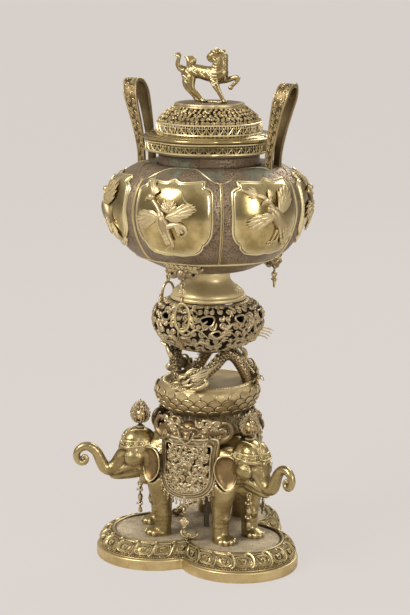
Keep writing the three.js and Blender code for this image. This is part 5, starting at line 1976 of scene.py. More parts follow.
def bulb_holes(length, height):
    """The openwork's holes: their middles on the bulb's skin and their half widths."""
    holes = []
    for row, share, wide, high in ((0, 0.7, 8, 5.8), (1, 0.5, 9, 6.2), (2, 0.3, 7.2, 5)):
        for k in range(9):
            seed = 13 * row + k
            x = length * (k + 0.5 * (row % 2) + 0.3 * scatter(seed)) / 9
            y = height * share + 4 * scatter(seed + 0.4) - 2
            size = 0.75 + 0.5 * scatter(seed + 0.7)
            holes.append((x, y, wide * size, high * size))
    return holes


def make_bulb():
    """A hollow bulb of clouds and of dragons' coils, with holes between them."""
    skin = skin_of([tuple(p) for p in eased(BULB_LINE, 3)])
    length, height = skin.length, skin.height
    holes = bulb_holes(length, height)

    def nearest(x, y):
        best = None
        for hx, hy, wide, high in holes:
            middle = x + (hx - x + length / 2) % length - length / 2
            far = math.hypot((x - middle) / wide, (y - hy) / high)
            if best is None or far < best[0]:
                best = (far, middle, hy, wide, high)
        return best[1:]

    def closed_off(x, y, margin=0.0):
        hx, hy, wide, high = nearest(x, y)
        return math.hypot((x - hx) / (wide + margin), (y - hy) / (high + margin)) < 1

    wall = perforated(skin, nearest, 300, 52, 1.6, 2.4)
    # Painted shade: the wall behind the holes is near black, so the holes read as dark.
    piece("openwork_bulb_wall", wall, DARK_SHADE_FILL, nodes=["openwork_bulb"])
    shape = bmesh.new()
    spots = []
    rows = 9
    for row in range(rows):
        y = 7 + (height - 14) * row / (rows - 1)
        here = math.hypot(*skin(0, y).xy)
        count = round(here * TAU / 10.5)
        for k in range(count):
            x = length * (k + 0.5 * (row % 2) + 0.5 * scatter(row * 31 + k)) / count
            if not closed_off(x, y, 2.5):
                spots.append((x, y + 2 * scatter(row * 17 + k) - 1))
    scroll_field(shape, skin, spots, 4.4, 1.5, 1.3, 0.6)
    for hx, hy, wide, high in holes:
        strand = []
        for k in range(17):
            turn = TAU * k / 16
            reach = 1.12 + 0.12 * math.sin(3 * turn + hx)
            strand.append((hx + wide * reach * math.cos(turn), hy + high * reach * math.sin(turn), 1.5))
        stroke(shape, strand, skin, rise=1.4, sink=0.4)
    for k in range(22):
        x = length * k / 22
        y = height * (0.2 + 0.62 * scatter(k + 0.5))
        hand = 1 if k % 2 else -1
        wave = []
        for i in range(7):
            spot = (x + 8.5 * i, y + hand * (5.5 * math.sin(i * 1.45) + 0.9 * i), 2.3 - 0.28 * i)
            wave.append(spot)
        stroke(shape, wave, skin, rise=1.1, steps=4, sides=8, sink=-0.4)
        if not closed_off(x, y, 1.0):
            for dx, dy, reach in ((0, 0, 3.8), (-4.6, 2.6 * hand, 2.9), (-2.4, -4.4 * hand, 2.7)):
                ball(shape, skin(x + dx, y + dy, 0.2), (reach, reach, reach), sides=12)
    for up, width in ((2.6, 3.2), (height - 2.4, 3.2)):
        band = [(length * k / 120, up, width) for k in range(121)]
        stroke(shape, band, skin, rise=0.7, sink=1.2)
    piece("openwork_bulb_clouds", shape, SCROLLED)
    claws = bmesh.new()
    for turn in (22, 142, 262):
        for k in range(4):
            low = BULB_Z + 25 - 4.2 * k
            claw = [
                about_axis(turn - 6, 66 - 2 * k, low, 2.2),
                about_axis(turn - 2 + k, 78 - 2 * k, low + 0.6, 1.5),
                about_axis(turn + 1 + k, 88 - 2 * k, low - 2.4, 1.0),
                about_axis(turn + 3 + k, 96 - 3 * k, low - 7, 0.4),
            ]
            limb(claws, claw, steps=3, sides=8)
    piece("openwork_bulb_claws", claws, CAST)
    boss = spun(
        [
            (0, BULB_Z - 10.4),
            (16, BULB_Z - 10),
            (27, BULB_Z - 8),
            (36, BULB_Z - 3.4),
            (43, BULB_Z + 1),
            (43, BULB_Z + 3),
            (0, BULB_Z + 3),
        ],
        steps=72,
        closed=False,
    )
    piece("openwork_bulb_boss", boss, CAST)


def make_waist():
    """The polished waisted collar under the bowl."""
    low = BULB_TOP_Z + GAP
    line = [
        (46, low + 0.1),
        (51, low + 0.1),
        (53.6, low + 1.2),
        (54.4, low + 3.4),
        (53.8, low + 5.6),
        (52.2, low + 6.8),
        (51.8, low + 7.4),
        (52.2, low + 8.2),
        (51.6, low + 10.4),
        (49.4, low + 13.4),
        (45.6, low + 16.6),
        (40.6, low + 20),
        (36, low + 23.4),
        (33, low + 27),
        (31.6, low + 30.4),
        (31.4, low + 34),
        (31.4, WAIST_TOP_Z - 1),
        (24, WAIST_TOP_Z),
    ]
    shell = spun([tuple(p) for p in eased([(*p, 0) for p in line], 3)], closed=False)
    # The waist's paler brass is painted light.
    piece("waisted_collar_shell", shell, LIT_SATIN, nodes=["waisted_collar"])


# Bowl
LOW = WAIST_TOP_Z + GAP
BOWL_RISE = BOWL_TOP_Z - LOW
BOWL_SHARES = [
    (0.41, 0.02, 0),
    (0.54, 0.062, 0.01),
    (0.71, 0.13, 0.03),
    (0.825, 0.2, 0.045),
    (0.93, 0.325, 0.06),
    (0.99, 0.464, 0.065),
    (1, 0.58, 0.07),
    (0.96, 0.73, 0.08),
    (0.88, 0.81, 0.09),
    (0.78, 0.867, 0.09),
    (0.66, 0.9, 0.07),
]
BOWL_LINE = [
    (32, LOW, 0),
    *[(share * BOWL_RADIUS, LOW + level * BOWL_RISE, depth) for share, level, depth in BOWL_SHARES],
    (BOWL_NECK_RADIUS, LOW + 0.885 * BOWL_RISE, 0),
]


def bowl_profile():
    """The bowl's outside from its foot to its neck, drawn smooth."""
    return [tuple(p) for p in eased(BOWL_LINE, 4)]


def bowl_inside():
    """The inside of the bowl's flank, from its shoulder to its foot."""
    line = bowl_profile()
    points = []
    for before, here, after in zip(line, line[1:], line[2:]):
        way = (Vector(after) - Vector(before)).xy.normalized()
        if 70 < here[0] and here[1] < LOW + 0.86 * BOWL_RISE:
            points.append((here[0] - way.y * BOWL_WALL, here[1] + way.x * BOWL_WALL, here[2]))
    return points[::-1]


def make_bowl():
    neck = [
        (BOWL_NECK_RADIUS - 0.3, BOWL_TOP_Z - 14, 0),
        (BOWL_NECK_RADIUS - 0.3, BOWL_TOP_Z - 5, 0),
        (BOWL_NECK_RADIUS + 5, BOWL_TOP_Z - 3.2, 0),
        (BOWL_NECK_RADIUS + 6.6, BOWL_TOP_Z - 0.2, 0),
        (BOWL_NECK_RADIUS - 4, BOWL_TOP_Z - 0.2, 0),
        (BOWL_NECK_RADIUS - 4, BOWL_TOP_Z - 28, 0),
        *bowl_inside(),
        (50, LOW + 6, 0),
        (5, LOW + 6, 0),
        (5, LOW + 0.2, 0),
    ]
    piece("bowl_body", spun([*bowl_profile(), *neck], steps=180), GROUND, nodes=["bowl"])
    make_ribs()


def make_ribs():
    """Moulded ribs down the folds of the bowl, arches over its lobes and a rib round its foot."""
    skin = skin_of(bowl_profile())
    shape = bmesh.new()
    foot = 76
    top = skin.height - 58
    for i in range(6):
        across = skin.length * i / 6
        for aside, width in ((-1.5, 1.0), (1.3, 0.7)):
            bar = [(across + aside, foot + (top - foot) * k / 24, width) for k in range(25)]
            stroke(shape, bar, skin, rise=1.6)
    for offset, width in ((foot - 2.8, 0.8), (foot, 1.5)):
        band = [(skin.length * k / 240, offset, width) for k in range(241)]
        stroke(shape, band, skin, rise=1.1)
    arches = bmesh.new()
    for i in range(6):
        start = skin.length * i / 6
        arch = []
        for k in range(33):
            share = k / 32
            fall = 44 * abs(math.cos(math.pi * share)) ** 2.8
            arch.append((start + skin.length / 6 * share, top + 44 - fall, 0.6))
        stroke(arches, arch, skin, rise=1.3)
    piece("bowl_ribs", shape, GILT)
    piece("bowl_arches", arches, RELIEF)


def flank_rows():
    """Height, radius, lobe depth and outward direction up the bowl's flank."""
    line = bowl_profile()
    rows = []
    for i, point in enumerate(line):
        if rows and point[1] <= rows[-1][0] + 0.05:
            break
        ahead = Vector(line[min(i + 1, len(line) - 1)]) - Vector(line[max(i - 1, 0)])
        ahead = ahead.xy.normalized()
        rows.append((point[1], point[0], point[2], ahead.y, -ahead.x))
    return rows


bowl_flank = reader(flank_rows())


def on_panel(y, z, out=0.0):
    """A point of the bowl's skin with its own y and z, where a panel faces +X."""
    row = bowl_flank(z)[1:]
    radius = row[0]
    for _ in range(4):
        angle = math.asin(min(max(y / radius, -0.99), 0.99))
        radius = row[0] * (1 - row[1] * lobe_share(angle + math.pi / 6))
    spread = radius + out * row[2]
    angle = math.asin(min(max(y / spread, -0.99), 0.99))
    return Vector((spread * math.cos(angle), y + out * 0.3 * math.sin(angle), z + out * row[3]))


def cartouche():
    """The outline of a panel: cusped above and notched at its four corners."""
    half = PANEL_WIDTH / 2
    rise = PANEL_HEIGHT / 2
    side = [
        (0, rise + 3.2),
        (5, rise + 1.2),
        (12, rise - 1),
        (half - 19, rise + 0.6),
        (half - 15, rise - 1.5),
        (half - 13.5, rise - 6.5),
        (half - 7, rise - 9),
        (half - 2, rise - 16),
        (half + 0.4, 4),
        (half - 1.5, -rise * 0.36),
        (half - 8, -rise + 19),
        (half - 14, -rise + 14),
        (half - 17, -rise + 8),
        (half - 22, -rise + 4),
        (half - 27, -rise + 1.4),
        (12, -rise - 1),
        (0, -rise),
    ]
    whole = side + [(-x, z) for x, z in reversed(side[1:-1])]
    return [(x, z) for x, z in eased([*whole, whole[0]], 3)[:-1]]


def make_panels():
    outline = [(x, z + PANEL_Z) for x, z in cartouche()]
    field_levels = [
        (1.0, 0.0),
        (1.0, 2.0),
        (0.982, 2.0),
        (0.978, 1.3),
        (0.962, 1.3),
        (0.957, 2.3),
        (0.9, 2.6),
        (0.8, 2.7),
        (0.6, 2.7),
        (0.4, 2.7),
        (0.2, 2.7),
        (0.05, 2.7),
    ]
    field = bmesh.new()
    nested(field, outline, field_levels, on_panel)
    bmesh.ops.recalc_face_normals(field, faces=field.faces)
    border = bmesh.new()
    middle = Vector((0, PANEL_Z))
    for share, width, out in ((0.995, 1.0, 2.0), (0.952, 0.6, 2.3)):
        path = []
        for x, z in [*outline, outline[0]]:
            spot = middle + (Vector((x, z)) - middle) * share
            path.append((spot.x, spot.y, width))
        stroke(border, path, on_panel, rise=1.3, sink=-out)
    for i in range(6):
        turn = 30 + 60 * i
        piece(f"panel_{i + 1}_field", field.copy(), POLISHED, nodes=[f"panel_{i + 1}"], turn=turn)
        piece(f"panel_{i + 1}_frame", border.copy(), SATIN, turn=turn)


def on_field(y, z, out=0.0):
    """A point over a panel's field, measured from the panel's middle."""
    return on_panel(y, PANEL_Z + z, 2.6 + out)


def bird_head(shape, y, z, hand):
    """A small round head with an eye and a hooked beak; hand is the way it looks."""
    ball(shape, on_field(y, z, 4.4), (5.2, 5.4, 5.0), sides=18)
    ball(shape, on_field(y + hand * 1.6, z + 1.2, 8.4), (1.6, 1.6, 1.6), sides=10)
    beak = [(y + hand * 4, z - 0.4, 2.3), (y + hand * 8.4, z - 2, 1.5), (y + hand * 10.4, z - 5.4, 0.6)]
    stroke(shape, beak, on_field, rise=1.0, steps=3, sink=-3.6)
    for k in range(4):
        feather(shape, on_field, y - hand * 2, z + 3, math.radians(90 + hand * (10 + 16 * k)), 11, 1.5, 0, 3)


def plumage(shape, path, count, wide, out):
    """Short feathers that lie over a body along a line of points."""
    for i in range(count):
        share = i / (count - 1) * (len(path) - 1.001)
        low = int(share)
        spot = Vector(path[low]).lerp(Vector(path[low + 1]), share - low)
        way = Vector(path[low + 1]) - Vector(path[low])
        heading = math.atan2(way.y, way.x)
        for k in range(-1, 2):
            x = spot.x - math.sin(heading) * wide * k
            y = spot.y + math.cos(heading) * wide * k
            feather(shape, on_field, x, y, heading, 7, 2.3, 0.2 * k, out - 1.1 * abs(k))


def flying_bird():
    shape = bmesh.new()
    body = [(-13, 8, 5), (-9, -2, 8), (-5, -13, 7.4), (-1, -24, 4.4), (1, -31, 2)]
    stroke(shape, body, on_field, rise=1.0, steps=5, sides=16)
    plumage(shape, [(-13, 8), (-8, -6), (-2, -24)], 9, 4, 5.6)
    neck = [(-12, 8, 4.4), (-18, 17, 3.8), (-26, 25, 3.6)]
    stroke(shape, neck, on_field, rise=1.2, steps=4, sides=12, sink=-1)
    bird_head(shape, -27, 28, -1)
    fan(shape, on_field, (-26, 32), 92, 122, 4, 20, 1.5, 2.0)
    fan(shape, on_field, (-14, 3), 158, 206, 9, 36, 2.7, 2.2, 0.12)
    fan(shape, on_field, (-13, 4), 150, 200, 7, 22, 2.6, 4.4, 0.1)
    fan(shape, on_field, (1, 10), 25, 155, 11, 16, 2.0, 4.0)
    rosette(shape, on_field(1, 16, 6), (1, 0, 0.1), 6, 7)
    fan(shape, on_field, (-2, 5), -4, 30, 8, 36, 2.6, 2.2, 0.1)
    fan(shape, on_field, (-2, 4), -14, 20, 6, 22, 2.6, 4.4)
    hook = [(-2, -8, 4), (10, -5, 3.8), (20, -7, 3.2), (24, -14, 2.4), (18, -20, 1.6), (12, -18, 1)]
    stroke(shape, hook, on_field, rise=1.2, steps=4, sides=10, sink=-1.4)
    fan(shape, on_field, (10, -6), -70, -10, 6, 12, 1.8, 4)
    thin = [(36, 14, 1.1), (32, 19, 1.1), (22, 25, 1.0), (17, 33, 0.9), (15, 39, 0.5)]
    stroke(shape, thin, on_field, rise=1.3, steps=4, sink=-0.8)
    for side in (1, -1):
        tail = [(0, -26, 2), (2 + side, -33, 1.6), (-3 + 3 * side, -38, 1.2), (-6 + 6 * side, -42, 0.6)]
        stroke(shape, tail, on_field, rise=1.2, steps=4, sink=-0.8)
    return shape


def perched_bird():
    shape = bmesh.new()
    body = [(-5, 13, 6), (3, 6, 9.4), (11, -5, 9.4), (17, -16, 6.4), (21, -26, 3)]
    stroke(shape, body, on_field, rise=1.0, steps=5, sides=16)
    plumage(shape, [(-3, 12), (8, 0), (19, -22)], 10, 4.6, 6.4)
    neck = [(-3, 14, 5), (-7, 19, 4.6), (-10, 22, 4.2)]
    stroke(shape, neck, on_field, rise=1.1, steps=4, sides=12, sink=-1)
    bird_head(shape, -10, 24, -1)
    fan(shape, on_field, (7, 6), 18, 76, 11, 37, 2.8, 2.4, 0.14)
    fan(shape, on_field, (6, 6), 26, 84, 8, 23, 2.8, 5.0, 0.14)
    fan(shape, on_field, (-2, 3), 168, 204, 8, 36, 2.6, 2.0, 0.1)
    fan(shape, on_field, (-2, 3), 160, 198, 6, 21, 2.6, 4.2)
    fan(shape, on_field, (16, -14), -72, -32, 7, 27, 2.3, 2.0, -0.1)
    crest = [(-13, 28, 2.6), (-22, 31, 2.6), (-32, 34, 2.2), (-41, 38, 1.2)]
    stroke(shape, crest, on_field, rise=1.1, steps=4, sides=8, sink=-1.4)
    fan(shape, on_field, (-24, 31), 100, 200, 7, 12, 1.7, 1.6)
    for side in (1, -1):
        leg = [(10 + 3 * side, -16, 2.4), (8 + 4 * side, -25, 1.6), (5 + 4 * side, -31, 1.2)]
        stroke(shape, leg, on_field, rise=1.2, steps=4, sink=-1)
        fan(shape, on_field, (5 + 4 * side, -30), 200, 300, 4, 7, 0.9, 0.6)
    return shape


def make_birds():
    """A bird in high relief on each panel: flying and perched ones in turn."""
    birds = [flying_bird(), perched_bird()]
    for i in range(6):
        name = f"relief_bird_{i + 1}"
        piece(f"{name}_cast", birds[i % 2].copy(), RELIEF, nodes=[name], turn=30 + 60 * i)


# Ring masks with their links and rings
RING_OUT = 96
MASK_LOW_Z = 422
LINK_DROP = 19
RING_WIDTH = 11
RING_STRETCH = 1.8
RING_WIRE = 2


def loop_under(z):
    """The middle height of a loop that hangs in an eye."""
    return z - EYE_RADIUS - (EYE_RADIUS - 2 * WIRE - GAP)


def make_ring_masks():
    """A beast's face under the bowl, that bites the eye of a link."""
    shape = bmesh.new()
    out, z = RING_OUT, MASK_LOW_Z
    for level, reach, thick in ((19, 23, 5), (14.6, 20, 6), (10, 15, 6), (5.4, 10, 5)):
        plate = [
            (out - 14 + level * 0.7, -reach, z + level + 1, thick - 1),
            (out - 12 + level * 0.7, 0, z + level, thick),
            (out - 14 + level * 0.7, reach, z + level + 1, thick - 1),
        ]
        limb(shape, plate, sides=14)
    ball(shape, (out + 1, 0, z + 8.4), (8, 8.4, 6.6))
    ball(shape, (out + 7.6, 0, z + 10), (3.6, 4.2, 3.8))
    ball(shape, (out + 1, 0, z + 2.4), (5, 6, 3.2))
    for side in (1, -1):
        ball(shape, (out - 2, side * 9, z + 8), (6, 5.6, 5.4))
        ball(shape, (out + 4.6, side * 6.6, z + 14), (2.9, 2.9, 2.7), sides=14)
        brow = [
            (out + 6, side * 2.4, z + 16.6, 2.3),
            (out + 4, side * 9, z + 19, 2.7),
            (out - 3, side * 15.6, z + 17, 1.9),
        ]
        limb(shape, brow, sides=10)
        wing = [
            (out - 4, side * 14, z + 13, 4.2),
            (out - 5, side * 20, z + 11, 3.8),
            (out - 8, side * 25.4, z + 14.6, 3.2),
            (out - 10, side * 25, z + 19.6, 2.5),
            (out - 9, side * 20.6, z + 20.6, 1.9),
        ]
        limb(shape, wing, sides=12)
        scroll = [
            (out - 1, side * 10, z + 5, 3.2),
            (out - 2, side * 16, z + 3.4, 2.8),
            (out - 4, side * 20.4, z + 6.6, 2.3),
            (out - 3.4, side * 18, z + 10, 1.7),
        ]
        limb(shape, scroll, sides=12)
        fang = [(out + 5, side * 3.6, z + 4.6, 1.3), (out + 5.4, side * 4, z + 0.6, 0.5)]
        limb(shape, fang, sides=8)
    for k in range(7):
        turn = math.pi * (0.14 + 0.12 * k)
        lock = [
            (out - 2, 9 * math.cos(turn), z + 15 + 5 * math.sin(turn), 2.4),
            (out - 4, 15 * math.cos(turn), z + 16 + 8 * math.sin(turn), 1.9),
            (out - 3, 17 * math.cos(turn + 0.2), z + 16.6 + 10 * math.sin(turn + 0.2), 1),
        ]
        limb(shape, lock, sides=8)
    ring(shape, (out, 0, z - 6), EYE_RADIUS, WIRE)
    limb(shape, [(out, 0, z - 2, 1.6), (out + 0.6, 0, z + 2, 2.6)], sides=10)
    cast = fused(shape, 0.75, 1)

    def ahead(y, h, rise=0.0):
        return Vector((out - 6 + 0.7 * h + rise - y * y / 180, y, z + h))

    leaves = bmesh.new()
    spots = []
    for y, h in ((7, 18), (14, 18.6), (20.6, 19), (12, 12), (18, 13), (9, 6)):
        spots += [(y, h), (-y, h)]
    scroll_field(leaves, ahead, spots, 3.0, 1.2, 1.4, 0.2)
    ball(leaves, ahead(0, 11.5, 4), (4.2, 4.4, 4.2), sides=16)
    for name, turn in CLOTHS.items():
        piece(f"ring_mask_{name}_cast", cast.copy(), MASKED, nodes=[f"ring_mask_{name}"], turn=turn)
        piece(f"ring_mask_{name}_leaves", leaves.copy(), MASKED, turn=turn)


def make_rings():
    """Rosette links and the long rings that hang from two of them."""
    out = RING_OUT
    eye = MASK_LOW_Z - 6
    loop = loop_under(eye)
    middle = loop - EYE_RADIUS - 4
    for name, turn in CLOTHS.items():
        link = bmesh.new()
        ring(link, (out, 0, loop), EYE_RADIUS, WIRE, "Y")
        ball(link, (out, 0, middle), (2, 3.4, 3.4), sides=14)
        for face in (1, -1):
            rosette(link, (out + face * 1.4, 0, middle), (face, 0, 0), 5.2, 7)
        if name == "right":
            ring(link, (out, 0, loop - EYE_RADIUS - 11), 3, WIRE, "X", 1.5)
        else:
            ring(link, (out, 0, eye - LINK_DROP), EYE_RADIUS, WIRE)
        body = f"rosette_link_{name}"
        piece(f"{body}_cast", link, RELIEF, body, nodes=[body], turn=turn)
        if name != "right":
            make_swing_ring(name, turn, eye - LINK_DROP)


def make_swing_ring(name, turn, eye):
    """A long ring of round bar with a small winged ornament on each side."""
    out = RING_OUT
    shape = bmesh.new()
    ring(shape, (out, 0, loop_under(eye)), EYE_RADIUS, WIRE, "Y")
    middle = eye - EYE_RADIUS - WIRE - GAP - (RING_WIDTH + RING_WIRE) * RING_STRETCH
    ring(shape, (out, 0, middle), RING_WIDTH, RING_WIRE, "X", RING_STRETCH, steps=64)
    for side in (1, -1):
        ball(shape, (out, side * (RING_WIDTH + 1.6), middle - 2), (2.2, 2.8, 3.4), sides=12)
        for lift, reach in ((3, 4.4), (-2, 5.4), (-7, 4.0)):
            claw = [
                (out, side * (RING_WIDTH + 1), middle + lift, 1.5),
                (out + 0.6, side * (RING_WIDTH + reach), middle + lift - 2.4, 1.2),
                (out, side * (RING_WIDTH + reach - 0.6), middle + lift - 5.4, 0.5),
            ]
            limb(shape, claw, steps=3, sides=8)
    body = f"swing_ring_{name}"
    piece(f"{body}_cast", shape, GILT, body, nodes=[body], turn=turn)


# Gallery and lid
def make_gallery():
    """A pierced lobed ring: two rails with a fret of interlocking bars between them."""
    low = BOWL_TOP_Z + GAP
    top = GALLERY_TOP_Z
    r = GALLERY_RADIUS
    depth = 0.05
    rail_low = [
        (68, low, 0),
        (r - 1, low, depth),
        (r + 0.4, low + 0.8, depth),
        (r + 0.4, low + 2.6, depth),
        (r - 0.6, low + 3.4, depth),
        (r - 5, low + 3.4, depth),
        (68, low + 3.4, 0),
    ]
    plate = [
        (66, low + 0.6, 0),
        (r - 3, low + 0.6, depth),
        (r - 3, low + 3.9, depth),
        (66, low + 3.9, 0),
    ]
    # Painted shade: the plate seen through the fret is near black, so the gaps read as dark.
    piece("gallery_plate", spun(plate, steps=120), DARK_SHADE_FILL)
    shape = spun(rail_low, steps=180)
    rail_top = [
        (r - 5, top - 2.6, depth),
        (r - 0.6, top - 2.6, depth),
        (r + 0.2, top - 1.9, depth),
        (r + 0.2, top - 0.6, depth),
        (r - 0.8, top, depth),
        (r - 5, top, depth),
    ]
    upper = spun(rail_top, steps=180)
    join(shape, upper)
    piece("gallery_rails", shape, SATIN, nodes=["gallery"])
    fret = bmesh.new()
    skin = skin_of([(r - 1.6, low + 3, depth), (r - 1.9, top - 2.2, depth)])
    fret_band(fret, skin, 0.0, top - low - 5.2, 42, 0.56)
    piece("gallery_fret", fret, GILT)


def fret_band(shape, skin, low, height, count, width):
    """Upright T bars between two rails, with slanting keys on both sides of each."""
    pitch = skin.length / count
    for i in range(count):
        x = pitch * i
        bars = [[(x, 0.0), (x, 1.0)], [(x + pitch * 0.5, 0.0), (x + pitch * 0.5, 0.42)]]
        for side in (1, -1):
            arm = x + side * pitch * 0.3
            bars.append([(x, 0.7), (arm, 0.7), (arm, 0.94)])
            bars.append([(x + side * pitch * 0.1, 0.06), (x + side * pitch * 0.38, 0.5)])
            bars.append([(x + side * pitch * 0.38, 0.5), (x + side * pitch * 0.5, 0.78)])
        for bar in bars:
            stroke(shape, [(a, low + height * b, width) for a, b in bar], skin, rise=1.5, sides=4)


def dome_line():
    """The lid's dome, from its flange to the disc."""
    low = GALLERY_TOP_Z + GAP + LID_FLANGE
    points = [
        (DOME_RADIUS - 0.4, low, 0.05),
        (DOME_RADIUS + 0.2, low + 7, 0.05),
        (DOME_RADIUS - 0.8, low + 14, 0.05),
        (DOME_RADIUS - 4.4, low + 20.5, 0.05),
        (DOME_RADIUS - 11, low + 27.5, 0.05),
        (DOME_RADIUS - 20, low + 33.5, 0.05),
        (DISC_RADIUS + 0.4, DISC_Z, 0.05),
    ]
    return [tuple(p) for p in eased(points, 3)]


def make_lid():
    low = GALLERY_TOP_Z + GAP
    r = LID_RADIUS
    d = 0.05
    flange = [
        (DOME_RADIUS - 3, low - 3.6, d),
        (DOME_RADIUS, low - 3.6, d),
        (DOME_RADIUS + 1, low, d),
        (r - 3, low + 0.1, d),
        (r - 0.6, low + 1.4, d),
        (r, low + 3.2, d),
        (r - 1, low + 4.8, d),
        (r - 4.4, low + 5.4, d),
        (r - 5.4, low + 7.2, d),
        (r - 8.4, low + 8.2, d),
        (r - 11, low + 7.4, d),
        (r - 13, low + 8.4, d),
        (DOME_RADIUS + 1.6, low + 9.6, d),
        (DOME_RADIUS - 2, low + 9.8, d),
    ]
    shape = spun(rounded(flange, 0.9), steps=240)
    piece("lid_flange", shape, POLISHED, "lid_with_finial", nodes=["lid"])
    skin = skin_of(dome_line())
    work = bmesh.new()
    for offset, width in ((0.8, 1.3), (14.6, 1.2)):
        ring = [(skin.length * k / 180, offset, width) for k in range(181)]
        stroke(work, ring, skin, rise=1.1)
    fret_band(work, skin, 2.2, 11.6, 38, 0.62)
    piece("lid_dome_fret", work, LEAFY, "lid_with_finial")
    work = bmesh.new()
    top_edge = [(skin.length * k / 180, skin.height - 1.2, 1.2) for k in range(181)]
    stroke(work, top_edge, skin, rise=1.1)
    spots = []
    rows = 5
    for row in range(rows):
        y = 18 + (skin.height - 21.4) * row / (rows - 1)
        count = round(math.hypot(*skin(0, y).xy) * TAU / 6.9)
        for k in range(count):
            spots.append((skin.length * (k + 0.5 * (row % 2)) / count, y))
    scroll_field(work, skin, spots, 3.1, 1.05, 1.3)
    pitch = skin.length / 68

    def nearest(x, y):
        row = math.floor((y - 16) / 4.6)
        shift = 0.5 * (row % 2)
        column = math.floor(x / pitch - shift)
        return (column + shift + 0.5) * pitch, 16 + (row + 0.5) * 4.6, 2.2, 1.5

    wall = perforated(skin, nearest, 408, 34, 1.4, 1.4)
    # Painted shade: the wall behind the dome's holes is near black, so they read as dark.
    piece("lid_dome_wall", wall, DARK_SHADE_FILL, "lid_with_finial")
    piece("lid_dome_openwork", work, STRAP, "lid_with_finial")
    disc = [
        (0, DISC_TOP_Z, 0),
        (DISC_RADIUS - 6, DISC_TOP_Z, d),
        (DISC_RADIUS - 4.6, DISC_TOP_Z + 0.1, d),
        (DISC_RADIUS + 1.0, DISC_TOP_Z - 0.2, d),
        (DISC_RADIUS + 1.8, DISC_TOP_Z - 1.8, d),
        (DISC_RADIUS + 1.0, DISC_Z - 0.6, d),
        (DISC_RADIUS - 4, DISC_Z - 1.2, d),
        (0, DISC_Z - 1.2, 0),
    ]
    piece("lid_disc", spun(disc, steps=180, closed=False), CAST, "lid_with_finial")


# Finial
def drawn_on(trim, look, side, path, width, lift=0.3):
    """A raised line on one flank of the finial, through (x, height) points seen from the side."""
    line = []
    for x, z in eased(path, 5):
        spot, normal = look((x, side * 40, z), (0, -side, 0))
        if spot:
            line.append((*(spot + normal * lift), width * (1.1 - 0.5 * len(line) / (5 * len(path)))))
    if len(line) > 3:
        sweep(trim, tipped(line), sides=8)


